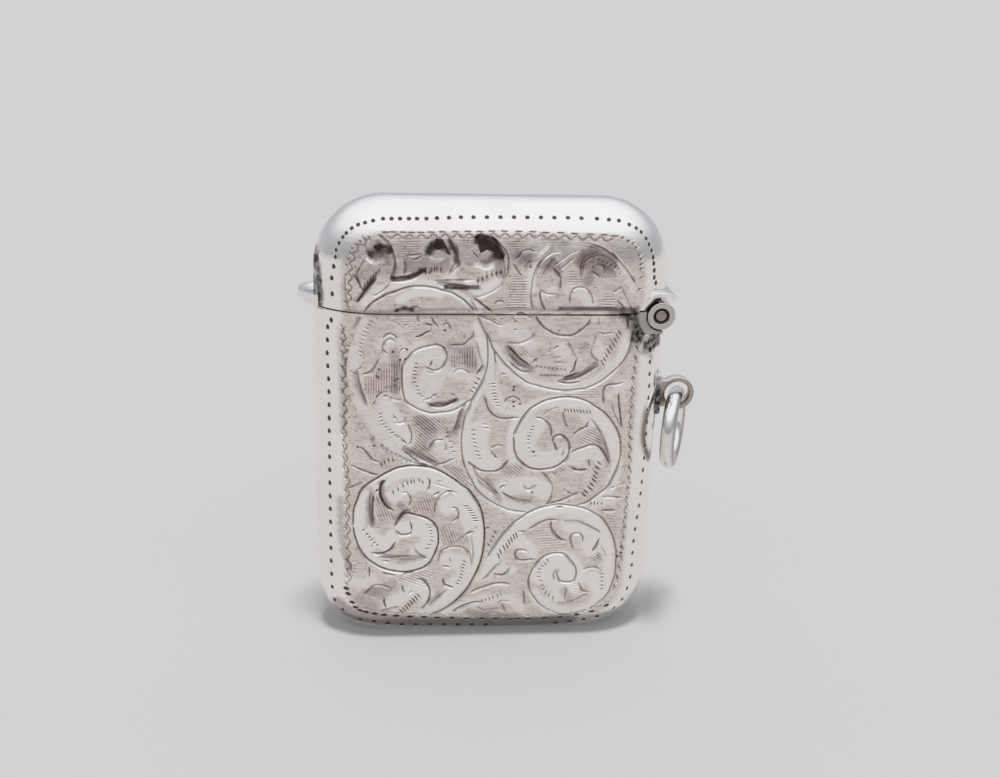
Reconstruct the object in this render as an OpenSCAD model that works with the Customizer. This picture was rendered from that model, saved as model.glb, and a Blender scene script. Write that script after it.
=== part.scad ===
// Silver vesta case: a pocket match case with a side-hinged lid, a thumb piece,
// a striker let into its base, and a loop with a jump ring for a watch chain.
// Frame: origin at the centre of the flat base, +Z up, front towards -Y,
// hinge and chain loop on the +X side. Millimetres.

/* [Case] */
// Width across the sides
case_w = 35; // [32:0.5:42]
// Height from the flat base to the top of the lid
case_h = 46.9; // [44:0.1:56]
// Thickness from front to back
case_t = 9; // [8.6:0.1:11]
// Radius of the four corners, seen from the front
corner_r = 7; // [6.6:0.1:9]
// Radius of the rolled edge next to the sides
edge_r = 3.5; // [3:0.1:4]
// Distance from the outline over which the faces roll down
roll_w = 6.5; // [5.8:0.1:6.6]
// Thickness of the struck sheet
wall = 0.6; // [0.4:0.05:0.8]
// Depth of the flat standing face, front to back
base_flat = 4.6; // [4:0.1:5.2]
// Thickness of the floor
floor_t = 1.0; // [0.8:0.1:2]

/* [Lid] */
// Height of the lid above the seam
lid_h = 10.75; // [9:0.25:14]
// Gap between the lid and the body along the seam
seam_gap = 0.1; // [0.05:0.01:0.2]
// How far the collar stands into the lid
collar_stand = 1.8; // [1:0.1:2.5]
// How far the collar reaches down into the body
collar_seat = 5; // [3:0.5:10]
// Thickness of the collar
collar_t = 0.4; // [0.3:0.05:0.6]
// Gap between the collar and the struck sheet
collar_gap = 0.13; // [0.12:0.01:0.2]

/* [Thumb piece] */
// Radius of the thumb piece, seen from above
thumb_r = 2.45; // [2.2:0.05:3]
// How far the thumb piece stands out from the lid
thumb_reach = 1.55; // [1.2:0.05:2]
// Height of its rim
thumb_t = 1.2; // [1:0.05:1.6]
// Depth of the hollow in its top
thumb_scoop = 0.55; // [0.3:0.05:0.7]

/* [Hinge] */
// Distance of the pin from the side of the case, inwards
pin_inset = 0.85; // [0.7:0.05:1]
// Distance of the pin below the seam
pin_drop = 0.45; // [0.35:0.05:0.6]
// Diameter of the pin
pin_d = 1.1; // [0.9:0.05:1.3]
// Outer diameter of the knuckles
knuckle_d = 2.8; // [2.6:0.1:3]
// Length of the hinge, front to back
hinge_l = 6.8; // [6.4:0.1:7.4]
// Length of the lid's own knuckle
lid_knuckle_l = 2.3; // [2:0.1:2.6]
// Radius of the outside of the hinge leaf about the pin
leaf_r = 2.4; // [2.3:0.05:2.6]
// Thickness of the leaf's free lip
lip_t = 0.45; // [0.3:0.05:0.5]
// Angle at which the lip ends, above the horizontal
lip_angle = 55; // [50:1:65]
// Height of the hinge block below the pin
block_drop = 1.85; // [1.7:0.05:2]
// Running gap on the pin and between knuckles
run_gap = 0.03; // [0.02:0.01:0.06]
// Gap round the turning knuckle and past the turning lip
turn_gap = 0.1; // [0.08:0.01:0.15]
// Opening of the lid, in degrees
lid_open = 110; // [90:1:112]

/* [Spring] */
// Width of the leaf spring
spring_w = 1.9; // [1.4:0.1:2]
// Thickness of the leaf spring
spring_t = 0.3; // [0.2:0.05:0.4]
// Length of the spring's foot on its seat
foot_l = 6; // [5:0.5:8]
// Free length of the spring above the foot
blade_l = 11.5; // [9:0.5:14]
// Depth of the two flats on the lid's knuckle
cam_flat = 0.25; // [0.15:0.05:0.3]
// Thickness of the seat between the spring and the wall
seat_t = 0.7; // [0.5:0.05:0.8]
// Diameter of the rivets' shanks
rivet_d = 0.6; // [0.5:0.05:0.7]
// Diameter of the rivets' heads
rivet_head_d = 1.1; // [0.9:0.05:1.2]

/* [Striker] */
// Length of the striker
striker_l = 22; // [16:0.5:23]
// Width of the striker
striker_w = 3.2; // [2.4:0.1:3.4]
// Thickness of the striker
striker_t = 0.5; // [0.4:0.05:0.6]
// Distance from one ridge to the next
ridge_pitch = 0.8; // [0.6:0.05:1.2]
// Width of a groove between ridges
groove_w = 0.4; // [0.3:0.05:0.5]
// Depth of the grooves
groove_d = 0.25; // [0.15:0.05:0.3]

/* [Chain loop] */
// Height of the loop's hole above the base
loop_z = 26.35; // [20:0.1:27]
// Distance of the hole's centre from the side of the case
loop_reach = 2.1; // [2:0.05:2.6]
// Diameter of the loop's hole
loop_hole_d = 2.6; // [2.5:0.05:2.8]
// Thickness of the strap that forms the loop
loop_t = 0.5; // [0.4:0.05:0.8]
// Width of the strap, front to back
loop_w = 1.1; // [0.9:0.1:1.2]
// Height of the soldered foot under the loop
foot_h = 4.6; // [4:0.1:6]
// Width of the soldered foot, front to back
foot_w = 2.4; // [2:0.1:3]
// Thickness of the foot
foot_t = 0.3; // [0.2:0.05:0.4]

/* [Jump ring] */
// Diameter of the ring's wire
wire_d = 1.5; // [1.3:0.05:1.55]
// Mean diameter of the ring
ring_d = 7.36; // [6.4:0.1:9]
// How far the ring is turned about the vertical, in degrees
ring_turn = 21; // [0:1:22]
// Distance of the wire below the centre of the hole
ring_sink = 0.22; // [0.1:0.02:0.24]

/* [Hidden] */
$fn = 64;
silver = [0.84, 0.83, 0.81];
bright_silver = [0.9, 0.9, 0.89];
dull_silver = [0.7, 0.69, 0.67];
steel = [0.55, 0.56, 0.58];

half_w = case_w / 2;
half_t = case_t / 2;
seam_z = case_h - lid_h;
lid_z = seam_z + seam_gap;
far = 2 * (case_w + case_h); // longer than anything on the case

// The roll is two tangent arcs: edge_r at the side, then dome_r up to the flat face.
dome_r = (pow(roll_w - edge_r, 2) + pow(half_t, 2) - pow(edge_r, 2)) / (2 * (half_t - edge_r));
roll_normal = [edge_r - roll_w, dome_r - half_t] / (dome_r - edge_r);

// The rolled bottom is cut flat, so the uncut outline starts below the base.
base_cut = edge_r - sqrt(pow(edge_r, 2) - pow(base_flat / 2, 2));
outline_h = case_h + base_cut;

pin_x = half_w - pin_inset;
pin_z = seam_z - pin_drop;
knuckle_r = knuckle_d / 2;
seat_r = knuckle_r + 2 * turn_gap; // hollow in the leaf round the knuckles
block_r = leaf_r + turn_gap / 2;
knuckle_web = 70; // angle taken by the web between the lid's knuckle and its leaf
web_start = 95;
lip_start = 95;
collar_end = pin_x - leaf_r - 2 * turn_gap;

cam_r = knuckle_r - cam_flat;
blade_x = pin_x - cam_r - run_gap; // right face of the blade where it meets the cam
seat_x = half_w - wall - seat_t - spring_t;
foot_top = pin_z - blade_l + spring_w / 2;
foot_z = foot_top - foot_l;
blade_top = pin_z + spring_t;
blade_bend = pin_z - knuckle_r; // the blade is upright from here, flat on the cam
rivet_places = [foot_z + foot_l / 4, foot_top - foot_l / 4];

loop_x = half_w + loop_reach;
loop_r = loop_hole_d / 2 + loop_t;
ring_r = ring_d / 2;
ring_top = loop_z - ring_sink;

// Section of the rolled edge, from the corner's centre out to the side.
// x runs outwards and y is the depth from the middle plane. inset moves the surface inwards.
module roll_section(inset = 0) {
    ray = 2 * case_t;
    x1 = corner_r - edge_r;
    x2 = corner_r - roll_w;
    elbow = [x1 - ray * roll_normal[0], ray * roll_normal[1]];
    intersection() {
        translate([x1, 0]) rotate(-90) circle(edge_r - inset);
        polygon([[x1, 0], [elbow[0], 0], elbow]);
    }
    intersection() {
        translate([x2, half_t - dome_r]) rotate(-90) circle(dome_r - inset);
        polygon([[x1, 0], elbow, [x2, elbow[1]], [x2, 0]]);
    }
    square([x2, half_t - inset]);
}

// Front half of the whole case as one solid, pillow-shaped, inset from its surface.
module half_cushion(inset = 0) {
    span_x = case_w - 2 * corner_r;
    span_z = outline_h - 2 * corner_r;
    rotate([90, 0, 0]) translate([0, case_h - outline_h / 2, 0]) {
        translate([-span_x / 2, -span_z / 2, 0]) cube([span_x, span_z, half_t - inset]);
        for (quarter = [0:3]) {
            across = quarter % 2 == 0 ? span_x : span_z;
            along = quarter % 2 == 0 ? span_z : span_x;
            rotate([0, 0, 90 * quarter]) translate([across / 2, along / 2, 0]) {
                rotate_extrude(angle = 90) roll_section(inset);
                rotate([90, 0, 0]) linear_extrude(along) roll_section(inset);
            }
        }
    }
}

// Level section of the case between its corners, seen from above.
module level_section(inset) {
    span_x = case_w - 2 * corner_r;
    for (back = [0, 1]) mirror([0, back, 0]) {
        translate([-span_x / 2, 0]) square([span_x, half_t - inset]);
        for (left = [0, 1]) mirror([left, 0, 0]) translate([span_x / 2, 0]) roll_section(inset);
    }
}

// Everything between two heights.
module level_slab(low, high) {
    translate([-far / 2, -far / 2, low]) cube([far, far, high - low]);
}

// A flat shape drawn in x and z about the pin, carried from front to back.
module along_hinge(length) {
    translate([pin_x, length / 2, pin_z]) rotate([90, 0, 0]) linear_extrude(length) children();
}

// Pie slice between two angles, in degrees from +X.
module pie(from, to, reach) {
    steps = ceil((to - from) / 30);
    polygon([[0, 0], for (i = [0:steps]) let (a = from + (to - from) * i / steps) reach * [cos(a), sin(a)]]);
}

module ring_sector(inner, outer, from, to) {
    intersection() {
        difference() {
            circle(outer);
            circle(inner);
        }
        pie(from, to, 2 * outer);
    }
}

// Outline of the hinge block about the pin.
module block_outline() {
    intersection() {
        circle(block_r);
        translate([-block_r, -block_drop]) square([block_r + pin_inset - wall, block_drop + pin_drop]);
    }
}

module striker_bed() {
    translate([-striker_l / 2, -striker_w / 2, -1]) cube([striker_l, striker_w, striker_t + 1]);
}

// Cut in the body for the hinge block and for the lip as it swings down.
module body_notch() {
    along_hinge(2 * case_t) {
        block_outline();
        intersection() {
            circle(leaf_r + turn_gap);
            translate([pin_inset - wall, -2 * leaf_r]) square([2 * leaf_r, 2 * leaf_r + pin_drop + seam_gap]);
        }
    }
}

module body_half() {
    difference() {
        intersection() {
            half_cushion();
            level_slab(0, seam_z);
        }
        intersection() {
            half_cushion(wall);
            level_slab(floor_t, case_h);
        }
        body_notch();
        striker_bed();
    }
}

module lid_half() {
    difference() {
        intersection() {
            half_cushion();
            level_slab(lid_z, case_h + 1);
        }
        half_cushion(wall);
        along_hinge(2 * case_t) circle(leaf_r);
    }
}

module body_front() {
    color(silver) body_half();
}

module body_back() {
    color(silver) mirror([0, 1, 0]) body_half();
}

module lid_front() {
    color(silver) lid_half();
}

module lid_back() {
    color(silver) mirror([0, 1, 0]) lid_half();
}

// Ridged strip under the base, with one ridge in the middle.
module striker() {
    ridges = floor(striker_l / 2 / ridge_pitch);
    color(dull_silver) difference() {
        translate([-striker_l / 2, -striker_w / 2, 0]) cube([striker_l, striker_w, striker_t]);
        for (i = [-ridges:ridges - 1])
            translate([(i + 0.5) * ridge_pitch - groove_w / 2, -striker_w, -groove_d])
                cube([groove_w, 2 * striker_w, 2 * groove_d]);
    }
}

// Inner rim that the lid snaps over. It stops short of the hinge.
module mouth_collar() {
    bottom = seam_z - collar_seat;
    outside = wall + collar_gap;
    color(bright_silver) translate([0, 0, bottom]) linear_extrude(collar_seat + collar_stand)
        intersection() {
            difference() {
                level_section(outside);
                level_section(outside + collar_t);
            }
            translate([-far / 2, -far / 2]) square([far / 2 + collar_end, far]);
        }
}

// Bearer that carries the body's knuckles, slotted for the lid's knuckle and the spring.
module hinge_block() {
    slot_w = lid_knuckle_l + 2 * turn_gap;
    color(dull_silver) difference() {
        along_hinge(hinge_l) difference() {
            block_outline();
            circle(knuckle_r);
        }
        along_hinge(slot_w) circle(2 * block_r);
    }
}

module knuckle(bore_d) {
    difference() {
        circle(knuckle_r);
        circle(bore_d / 2);
    }
}

module body_knuckle(side) {
    length = (hinge_l - lid_knuckle_l) / 2 - run_gap;
    middle = side * (hinge_l - length) / 2;
    color(bright_silver) translate([0, middle, 0]) along_hinge(length) knuckle(pin_d);
}

module front_knuckle() {
    body_knuckle(-1);
}

module rear_knuckle() {
    body_knuckle(1);
}

module hinge_pin() {
    color(dull_silver) along_hinge(hinge_l) circle(pin_d / 2);
}

// Curved leaf on the lid: a solid seat beside the knuckles and a thin lip over them.
module hinge_leaf() {
    seat_end = 180 - asin((pin_drop + seam_gap) / leaf_r);
    color(bright_silver) intersection() {
        along_hinge(hinge_l) {
            ring_sector(seat_r, leaf_r, lip_start, seat_end + 5);
            ring_sector(leaf_r - lip_t, leaf_r, lip_angle, lip_start);
        }
        level_slab(lid_z, case_h);
    }
}

// The lid's knuckle, webbed to the leaf, with two flats for the spring: one shut, one open.
module lid_knuckle() {
    color(bright_silver) along_hinge(lid_knuckle_l) {
        difference() {
            knuckle(pin_d + 2 * run_gap);
            for (face = [180, 180 + lid_open])
                rotate(face) translate([cam_r, -knuckle_r]) square(2 * knuckle_r);
        }
        ring_sector(knuckle_r - cam_flat, seat_r, web_start, web_start + knuckle_web - 10);
    }
}

// Blade that presses on the lid's knuckle, bent out of a flat foot.
module lid_spring() {
    foot_x = seat_x + spring_t;
    color(steel) difference() {
        translate([0, spring_w / 2, 0]) rotate([90, 0, 0]) linear_extrude(spring_w)
            polygon([[foot_x, foot_z], [foot_x, foot_top], [blade_x, blade_bend], [blade_x, blade_top],
                     [blade_x - spring_t, blade_top], [blade_x - spring_t, blade_bend],
                     [foot_x - spring_t, foot_top], [foot_x - spring_t, foot_z]]);
        rivet_shanks();
    }
}

module rivet_shanks() {
    for (z = rivet_places)
        translate([seat_x, 0, z]) rotate([0, 90, 0]) cylinder(d = rivet_d, h = spring_t + seat_t / 2);
}

// Pad soldered inside the wall, which the spring is riveted to.
module spring_seat() {
    color(dull_silver) difference() {
        intersection() {
            union() {
                half_cushion(wall);
                mirror([0, 1, 0]) half_cushion(wall);
            }
            translate([seat_x + spring_t, -spring_w / 2, foot_z]) cube([half_w, spring_w, foot_l]);
        }
        rivet_shanks();
    }
}

module spring_rivets() {
    color(dull_silver) {
        rivet_shanks();
        for (z = rivet_places)
            translate([seat_x - spring_t, 0, z]) rotate([0, 90, 0]) cylinder(d = rivet_head_d, h = spring_t);
    }
}

// Oval pad between the chain loop and the side of the body.
module loop_foot() {
    color(silver) difference() {
        translate([half_w - edge_r / 2, 0, loop_z]) rotate([0, 90, 0]) linear_extrude(edge_r / 2 + foot_t)
            intersection() {
                square([foot_h, foot_w], center = true);
                circle(d = foot_h);
            }
        half_cushion();
        mirror([0, 1, 0]) half_cushion();
    }
}

// Flat strap bent into a loop, with its neck on the foot.
module chain_loop() {
    neck = half_w + foot_t - loop_x;
    color(bright_silver) translate([loop_x, loop_w / 2, loop_z]) rotate([90, 0, 0]) linear_extrude(loop_w)
        difference() {
            union() {
                circle(loop_r);
                translate([neck, -loop_r * 0.8]) square([-neck, loop_r * 1.6]);
            }
            circle(d = loop_hole_d);
        }
}

module thumb_piece() {
    centre_x = thumb_r - half_w - thumb_reach;
    bowl_r = (pow(thumb_r, 2) + pow(thumb_scoop, 2)) / (2 * thumb_scoop);
    color(bright_silver) difference() {
        translate([centre_x, 0, lid_z]) cylinder(r = thumb_r, h = thumb_t);
        translate([centre_x, 0, lid_z + thumb_t - thumb_scoop + bowl_r]) sphere(bowl_r, $fn = 96);
        half_cushion();
        mirror([0, 1, 0]) half_cushion();
    }
}

module jump_ring() {
    color(bright_silver) translate([loop_x, 0, ring_top - ring_r]) rotate([0, 90, -ring_turn])
        rotate_extrude() translate([ring_r, 0]) circle(d = wire_d);
}

body_front();
body_back();
striker();
mouth_collar();
hinge_block();
front_knuckle();
rear_knuckle();
hinge_pin();
lid_spring();
spring_seat();
spring_rivets();
loop_foot();
chain_loop();
lid_front();
lid_back();
hinge_leaf();
lid_knuckle();
thumb_piece();
jump_ring();
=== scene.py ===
import math
import bpy
import bmesh
import numpy as np
from mathutils import Matrix, Vector
from mathutils.geometry import delaunay_2d_cdt


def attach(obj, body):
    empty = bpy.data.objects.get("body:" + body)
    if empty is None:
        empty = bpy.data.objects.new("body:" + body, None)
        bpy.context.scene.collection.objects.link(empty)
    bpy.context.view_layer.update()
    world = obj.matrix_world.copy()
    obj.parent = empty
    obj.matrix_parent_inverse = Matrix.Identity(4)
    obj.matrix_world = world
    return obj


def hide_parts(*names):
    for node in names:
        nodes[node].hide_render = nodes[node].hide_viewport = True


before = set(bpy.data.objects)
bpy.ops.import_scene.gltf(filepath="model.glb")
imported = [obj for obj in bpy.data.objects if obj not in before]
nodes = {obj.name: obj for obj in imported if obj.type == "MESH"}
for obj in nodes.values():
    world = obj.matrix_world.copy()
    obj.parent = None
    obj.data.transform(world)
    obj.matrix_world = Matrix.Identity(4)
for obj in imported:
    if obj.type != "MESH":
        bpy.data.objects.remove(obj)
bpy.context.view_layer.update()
scene = bpy.context.scene
mm = 0.001
tiny = 1e-12  # least value that anything is divided by
same = {"spot": 1e-4, "level": 1e-6, "plane": 2e-4}  # gaps that count as none

# The photograph's camera, in millimetres
view = {"turn": math.radians(-5.84), "rise": math.radians(21.52), "roll": math.radians(2.06),
        "place": (-11.37, -123.21, 75.59), "focal": 1300.0, "midX": 500.0, "midY": 388.5,
        "width": 1000, "sensor": 36, "near": 0.005, "far": 20}


def cameraAxes():
    turn, rise, roll = view["turn"], view["rise"], view["roll"]
    back = Vector((math.sin(turn) * math.cos(rise), -math.cos(turn) * math.cos(rise), math.sin(rise)))
    right = Vector((math.cos(turn), math.sin(turn), 0))
    up = back.cross(right)
    right2 = math.cos(roll) * right + math.sin(roll) * up
    up2 = -math.sin(roll) * right + math.cos(roll) * up
    return right2, up2, back


# The struck sheet: a flat panel, a domed roll and a tight edge, front half, in millimetres
sheet = {"cornerX": 10.5, "cornerTop": 39.9, "cornerLow": 6.138, "cornerR": 7.0, "panelR": 0.5,
         "domeR": 8.5, "domeDrop": 4.0, "edgeR": 3.5, "rollW": 6.5,
         "joinTurn": math.asin(0.6), "joinInset": 1.4, "wall": 0.6, "floor": 1.0,
         "mouth": 36.15, "lidMouth": 36.25, "hingeX": 16.65, "hingeZ": 35.70}
cornerX, cornerTop, cornerLow, cornerR, panelR, domeR, domeDrop, edgeR, rollW = list(sheet.values())[:9]
pinX, pinZ = sheet["hingeX"], sheet["hingeZ"]
sheet["joinRun"] = domeR * sheet["joinTurn"]
sheet["fullRun"] = sheet["joinRun"] + edgeR * (math.pi / 2 - sheet["joinTurn"])
sheetEdge = cornerX + panelR + sheet["fullRun"]
cornerRun = panelR + sheet["fullRun"]


def beyondPanel(x, z):
    u = np.maximum(np.abs(x) - cornerX, 0) * np.sign(x)
    v = np.maximum(z - cornerTop, 0) + np.minimum(z - cornerLow, 0)
    return u, v, np.hypot(u, v)


def sheetToSpace(a, b):
    a, b = np.asarray(a, float), np.asarray(b, float)
    u, v, rho = beyondPanel(a, b)
    run = np.maximum(rho - panelR, 0)
    dome = run < sheet["joinRun"]
    edgeTurn = sheet["joinTurn"] + (run - sheet["joinRun"]) / edgeR
    phi = np.where(dome, run / domeR, edgeTurn)
    domeInset, edgeInset = rollW - domeR * np.sin(phi), edgeR * (1 - np.sin(phi))
    inset = np.where(dome, domeInset, edgeInset)
    depth = np.where(dome, -domeDrop + domeR * np.cos(phi), edgeR * np.cos(phi))
    safe = np.maximum(rho, tiny)
    grow = np.where(run > 0, cornerR - inset, rho) / safe
    place = np.stack([a - u + u * grow, -depth, b - v + v * grow], -1)
    facing = np.stack([np.sin(phi) * u / safe, -np.cos(phi), np.sin(phi) * v / safe], -1)
    return place, facing


def insetToRun(inset):
    domeTurn = np.arcsin(np.clip((rollW - inset) / domeR, -1, 1))
    edgeTurn = np.arcsin(np.clip(1 - inset / edgeR, -1, 1))
    edgeRun = sheet["joinRun"] + (edgeTurn - sheet["joinTurn"]) * edgeR
    return np.where(inset > sheet["joinInset"], domeTurn * domeR, edgeRun)


def spaceToSheet(x, z):
    x, z = np.asarray(x, float), np.asarray(z, float)
    u, v, rho = beyondPanel(x, z)
    run = insetToRun(np.maximum(cornerR - rho, 0))
    grow = np.where(rho > panelR, (run + panelR) / np.maximum(rho, tiny), 1.0)
    return np.stack([x - u + u * grow, z - v + v * grow], -1)


def photoToSheet(spots, settleSteps=14):
    right, up, back = [np.array(v) for v in cameraAxes()]
    spots = np.asarray(spots, float).reshape(-1, 2)
    eye = np.array(view["place"])
    across = (spots[:, :1] - view["midX"]) / view["focal"]
    down = (spots[:, 1:] - view["midY"]) / view["focal"]
    aim = across * right - down * up - back
    depth = np.full(len(spots), domeR - domeDrop)
    for _ in range(settleSteps):
        reach = (-depth - eye[1]) / aim[:, 1]
        x, z = eye[0] + reach * aim[:, 0], eye[2] + reach * aim[:, 2]
        ab = spaceToSheet(x, z)
        depth = 0.5 * depth + 0.5 * -sheetToSpace(ab[:, 0], ab[:, 1])[0][:, 1]
    return spaceToSheet(x, z)


def arcSpots(centre, radius, start, stop, count):
    turn = np.radians(np.linspace(start, stop, count))
    return np.stack([centre[0] + radius * np.cos(turn), centre[1] + radius * np.sin(turn)], -1)


def spacedLine(start, stop, gap):
    count = max(int(np.hypot(stop[0] - start[0], stop[1] - start[1]) / gap), 1) + 1
    return np.linspace(start, stop, count)


def joinRuns(runs):
    spots = [runs[0]]
    for run in runs[1:]:
        spots.append(run[1:] if np.hypot(*(run[0] - spots[-1][-1])) < same["spot"] else run)
    spots = np.concatenate(spots)
    if np.hypot(*(spots[0] - spots[-1])) < same["spot"]:
        spots = spots[:-1]
    return spots


# Outlines of the two halves on the flat sheet, with the gaps and counts of their points
def baseCurve(height, lessWall, samples=900, endCount=22, gap=0.6):
    run = np.linspace(0, cornerRun, samples)
    place, facing = sheetToSpace(np.full(samples, cornerX), cornerLow - run)
    reach = cornerLow - place[:, 2] + lessWall * facing[:, 2]
    full = cornerR - lessWall
    widest = math.acos((cornerLow - height) / full)
    turn = np.linspace(widest, 0, endCount)
    rho = np.interp((cornerLow - height) / np.cos(turn), reach, run)
    left = np.stack([-cornerX - rho * np.sin(turn), cornerLow - rho * np.cos(turn)], -1)
    straight = spacedLine(left[-1], (cornerX, left[-1][1]), gap)
    right = left[::-1] * (-1, 1)
    return math.degrees(widest), joinRuns([left, straight, right])


# The notch that the hinge block sits in: two arcs round the pin and a square step between them
notchForm = {"lowArc": (2.5, -70.12, -84.26, 8), "sideArc": (2.45, 229.04, 169.4, 14), "right": 0.25,
             "low": -2.487, "high": -1.85, "left": -1.606, "widest": 17.4999, "gap": 0.2}


def hingeNotch():
    gap, right, left = notchForm["gap"], pinX + notchForm["right"], pinX + notchForm["left"]
    low, high = pinZ + notchForm["low"], pinZ + notchForm["high"]
    lowArc, sideArc = [arcSpots((pinX, pinZ), *notchForm[label]) for label in ("lowArc", "sideArc")]
    path = joinRuns([lowArc, spacedLine((right, low), (right, high), gap),
                     spacedLine((right, high), (left, high), gap), sideArc])
    path[:, 0] = np.minimum(path[:, 0], notchForm["widest"])
    return spaceToSheet(path[:, 0], path[:, 1])


def bodyLoop(height, lessWall, gap=0.6, mouthGap=0.3, count=20):
    widest, base = baseCurve(height, lessWall)
    leftCorner, rightCorner = (-cornerX, cornerLow), (cornerX, cornerLow)
    lowLeft = arcSpots(leftCorner, cornerRun, 180, 270 - widest, count)
    lowRight = arcSpots(rightCorner, cornerRun, 270 + widest, 360, count)
    notch = hingeNotch()
    notch[0, 0] = sheetEdge
    leftTop = (-sheetEdge, sheet["mouth"])
    return joinRuns([spacedLine(leftTop, (-sheetEdge, cornerLow), gap), lowLeft, base, lowRight,
                     spacedLine((sheetEdge, cornerLow), notch[0], gap), notch,
                     spacedLine((notch[-1][0], sheet["mouth"]), leftTop, mouthGap)])


# The lid has a round bite that the hinge leaf fills
biteForm = {"arc": (2.4, 166.75, 69.26, 20), "edgeX": 17.5}


def lidLoop(topGap=0.6, sideGap=0.5, mouthGap=0.3, count=28):
    bite = arcSpots((pinX, pinZ), *biteForm["arc"])
    bite[-1, 0] = biteForm["edgeX"]
    bite = spaceToSheet(bite[:, 0], bite[:, 1])
    bite[-1, 0] = sheetEdge
    bite[0, 1] = sheet["lidMouth"]
    leftLow, top = (-sheetEdge, sheet["lidMouth"]), cornerTop + cornerRun
    leftCorner, rightCorner = (-cornerX, cornerTop), (cornerX, cornerTop)
    return joinRuns([spacedLine(leftLow, bite[0], mouthGap), bite,
                     spacedLine(bite[-1], (sheetEdge, cornerTop), sideGap),
                     arcSpots(rightCorner, cornerRun, 0, 90, count),
                     spacedLine((cornerX, top), (-cornerX, top), topGap),
                     arcSpots(leftCorner, cornerRun, 90, 180, count),
                     spacedLine((-sheetEdge, cornerTop), leftLow, sideGap)])


def insideLoop(spots, loop):
    inside = np.zeros(len(spots), bool)
    x, y = spots[:, 0], spots[:, 1]
    for (x0, y0), (x1, y1) in zip(loop, np.roll(loop, -1, 0)):
        if y0 != y1:
            crossing = ((y0 > y) != (y1 > y)) & (x < x0 + (y - y0) * (x1 - x0) / (y1 - y0))
            inside ^= crossing
    return inside


def pathDistance(spots, path):
    nearest = np.full(len(spots), np.inf)
    for p, q in zip(path[:-1], path[1:]):
        along = q - p
        share = np.clip(((spots - p) @ along) / max(along @ along, tiny), 0, 1)
        nearest = np.minimum(nearest, np.hypot(*(spots - p - share[:, None] * along).T))
    return nearest


def loopDistance(spots, loop):
    return pathDistance(spots, np.concatenate([loop, loop[:1]]))


print("sheet form set")


# Cutting tools: a line is a V cut, a gouge is a cut with one broad wall, sizes in photograph pixels
perPixel = 1 / 9.8  # millimetres on the panel for a pixel of the photograph


def smoothPath(spots, gap):
    spots = np.asarray(spots, float)
    if len(spots) == 2:
        return spacedLine(spots[0], spots[1], gap)
    keys = np.concatenate([[2 * spots[0] - spots[1]], spots, [2 * spots[-1] - spots[-2]]])
    path = []
    for p0, p1, p2, p3 in zip(keys, keys[1:], keys[2:], keys[3:]):
        count = max(int(np.hypot(*(p2 - p1)) / gap), 1)
        t = np.arange(count)[:, None] / count
        bend, twist = 2 * p0 - 5 * p1 + 4 * p2 - p3, 3 * p1 - p0 - 3 * p2 + p3
        path.append(0.5 * (2 * p1 + (p2 - p0) * t + bend * t ** 2 + twist * t ** 3))
    return np.concatenate(path + [spots[-1:]])


def runAlong(path):
    return np.concatenate([[0], np.cumsum(np.hypot(*np.diff(path, axis=0).T))])


def spotsAt(path, marks):
    run = runAlong(path)
    return np.stack([np.interp(marks, run, path[:, 0]), np.interp(marks, run, path[:, 1])], -1)


def cutAlong(path, leftW, rightW, steep, ink, dull, taper, thin=0.12, curve=0.6):
    run = runAlong(path)
    ends = np.minimum(run, run[-1] - run)
    swell = np.clip(ends / max(taper, tiny), 0, 1) ** curve * (1 - thin) + thin
    return {"path": path, "left": leftW * swell, "right": rightW * swell,
            "depth": steep * 0.5 * (leftW + rightW) * swell, "ink": ink, "dull": dull}


def sideways(path):
    along = np.gradient(path, axis=0)
    along /= np.maximum(np.hypot(*along.T)[:, None], tiny)
    return np.stack([-along[:, 1], along[:, 0]], -1)


def vLine(width, ink, spots, gap=0.17, wider=0.75, steep=0.85, taper=0.45):
    half = (0.5 * width + wider) * perPixel
    return cutAlong(smoothPath(photoToSheet(spots), gap), half, half, steep, ink, 0.0, taper)


def gouge(width, ink, spots, gap=0.2, broad=0.72, steep=0.55, taperShare=0.3):
    path = smoothPath(photoToSheet(spots), gap)
    whole, taper = width * perPixel, taperShare * np.hypot(*np.diff(path, axis=0).T).sum()
    return cutAlong(path, whole * broad, whole * (1 - broad), steep, ink, 0.0, taper)


def bars(places, aim, length, ink, width=2.0, gap=0.2, spread=0.66, steep=0.9, darker=0.4, taper=0.14):
    aim = np.array(aim, float) / np.hypot(*aim)
    half, ink = spread * width * perPixel, min(ink + darker, 1)
    cuts = []
    for spot in np.reshape(np.asarray(places, float), (-1, 2)):
        ends = photoToSheet([spot - aim * length / 2, spot, spot + aim * length / 2])
        cuts.append(cutAlong(smoothPath(ends, gap), half, half, steep, ink, 0.0, taper))
    return cuts


def barsAlong(path, count, aim, length, ink, width=2.0):
    path = smoothPath(np.reshape(path, (-1, 2)), 1.0)
    return bars(spotsAt(path, np.linspace(0, runAlong(path)[-1], count)), aim, length, ink, width)


def raysFrom(centre, places, length, ink):
    return [bars(spot, spot - centre, length, ink) for spot in np.reshape(np.asarray(places, float), (-1, 2))]


def sheetPatch(rim, ink, depth, dull, slope, leanMost=0.45):
    toward = rim.mean(0) - rim
    lean = np.minimum(slope / np.maximum(np.hypot(*toward.T), tiny), leanMost)
    return {"rim": rim, "inner": rim + toward * lean[:, None], "depth": depth, "ink": ink, "dull": dull}


def dots(places, ink, radius=0.16, depth=0.07, dull=0.3, slope=0.06):
    rim = radius * arcSpots((0, 0), 1, 0, 300, 6)  # six corners
    return [sheetPatch(spot + rim, ink, depth, dull, slope) for spot in photoToSheet(places)]


def patch(corners, ink, depth=0.05, dull=0.3, slope=0.12):
    return sheetPatch(photoToSheet(corners), ink, depth, dull, slope)


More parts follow.
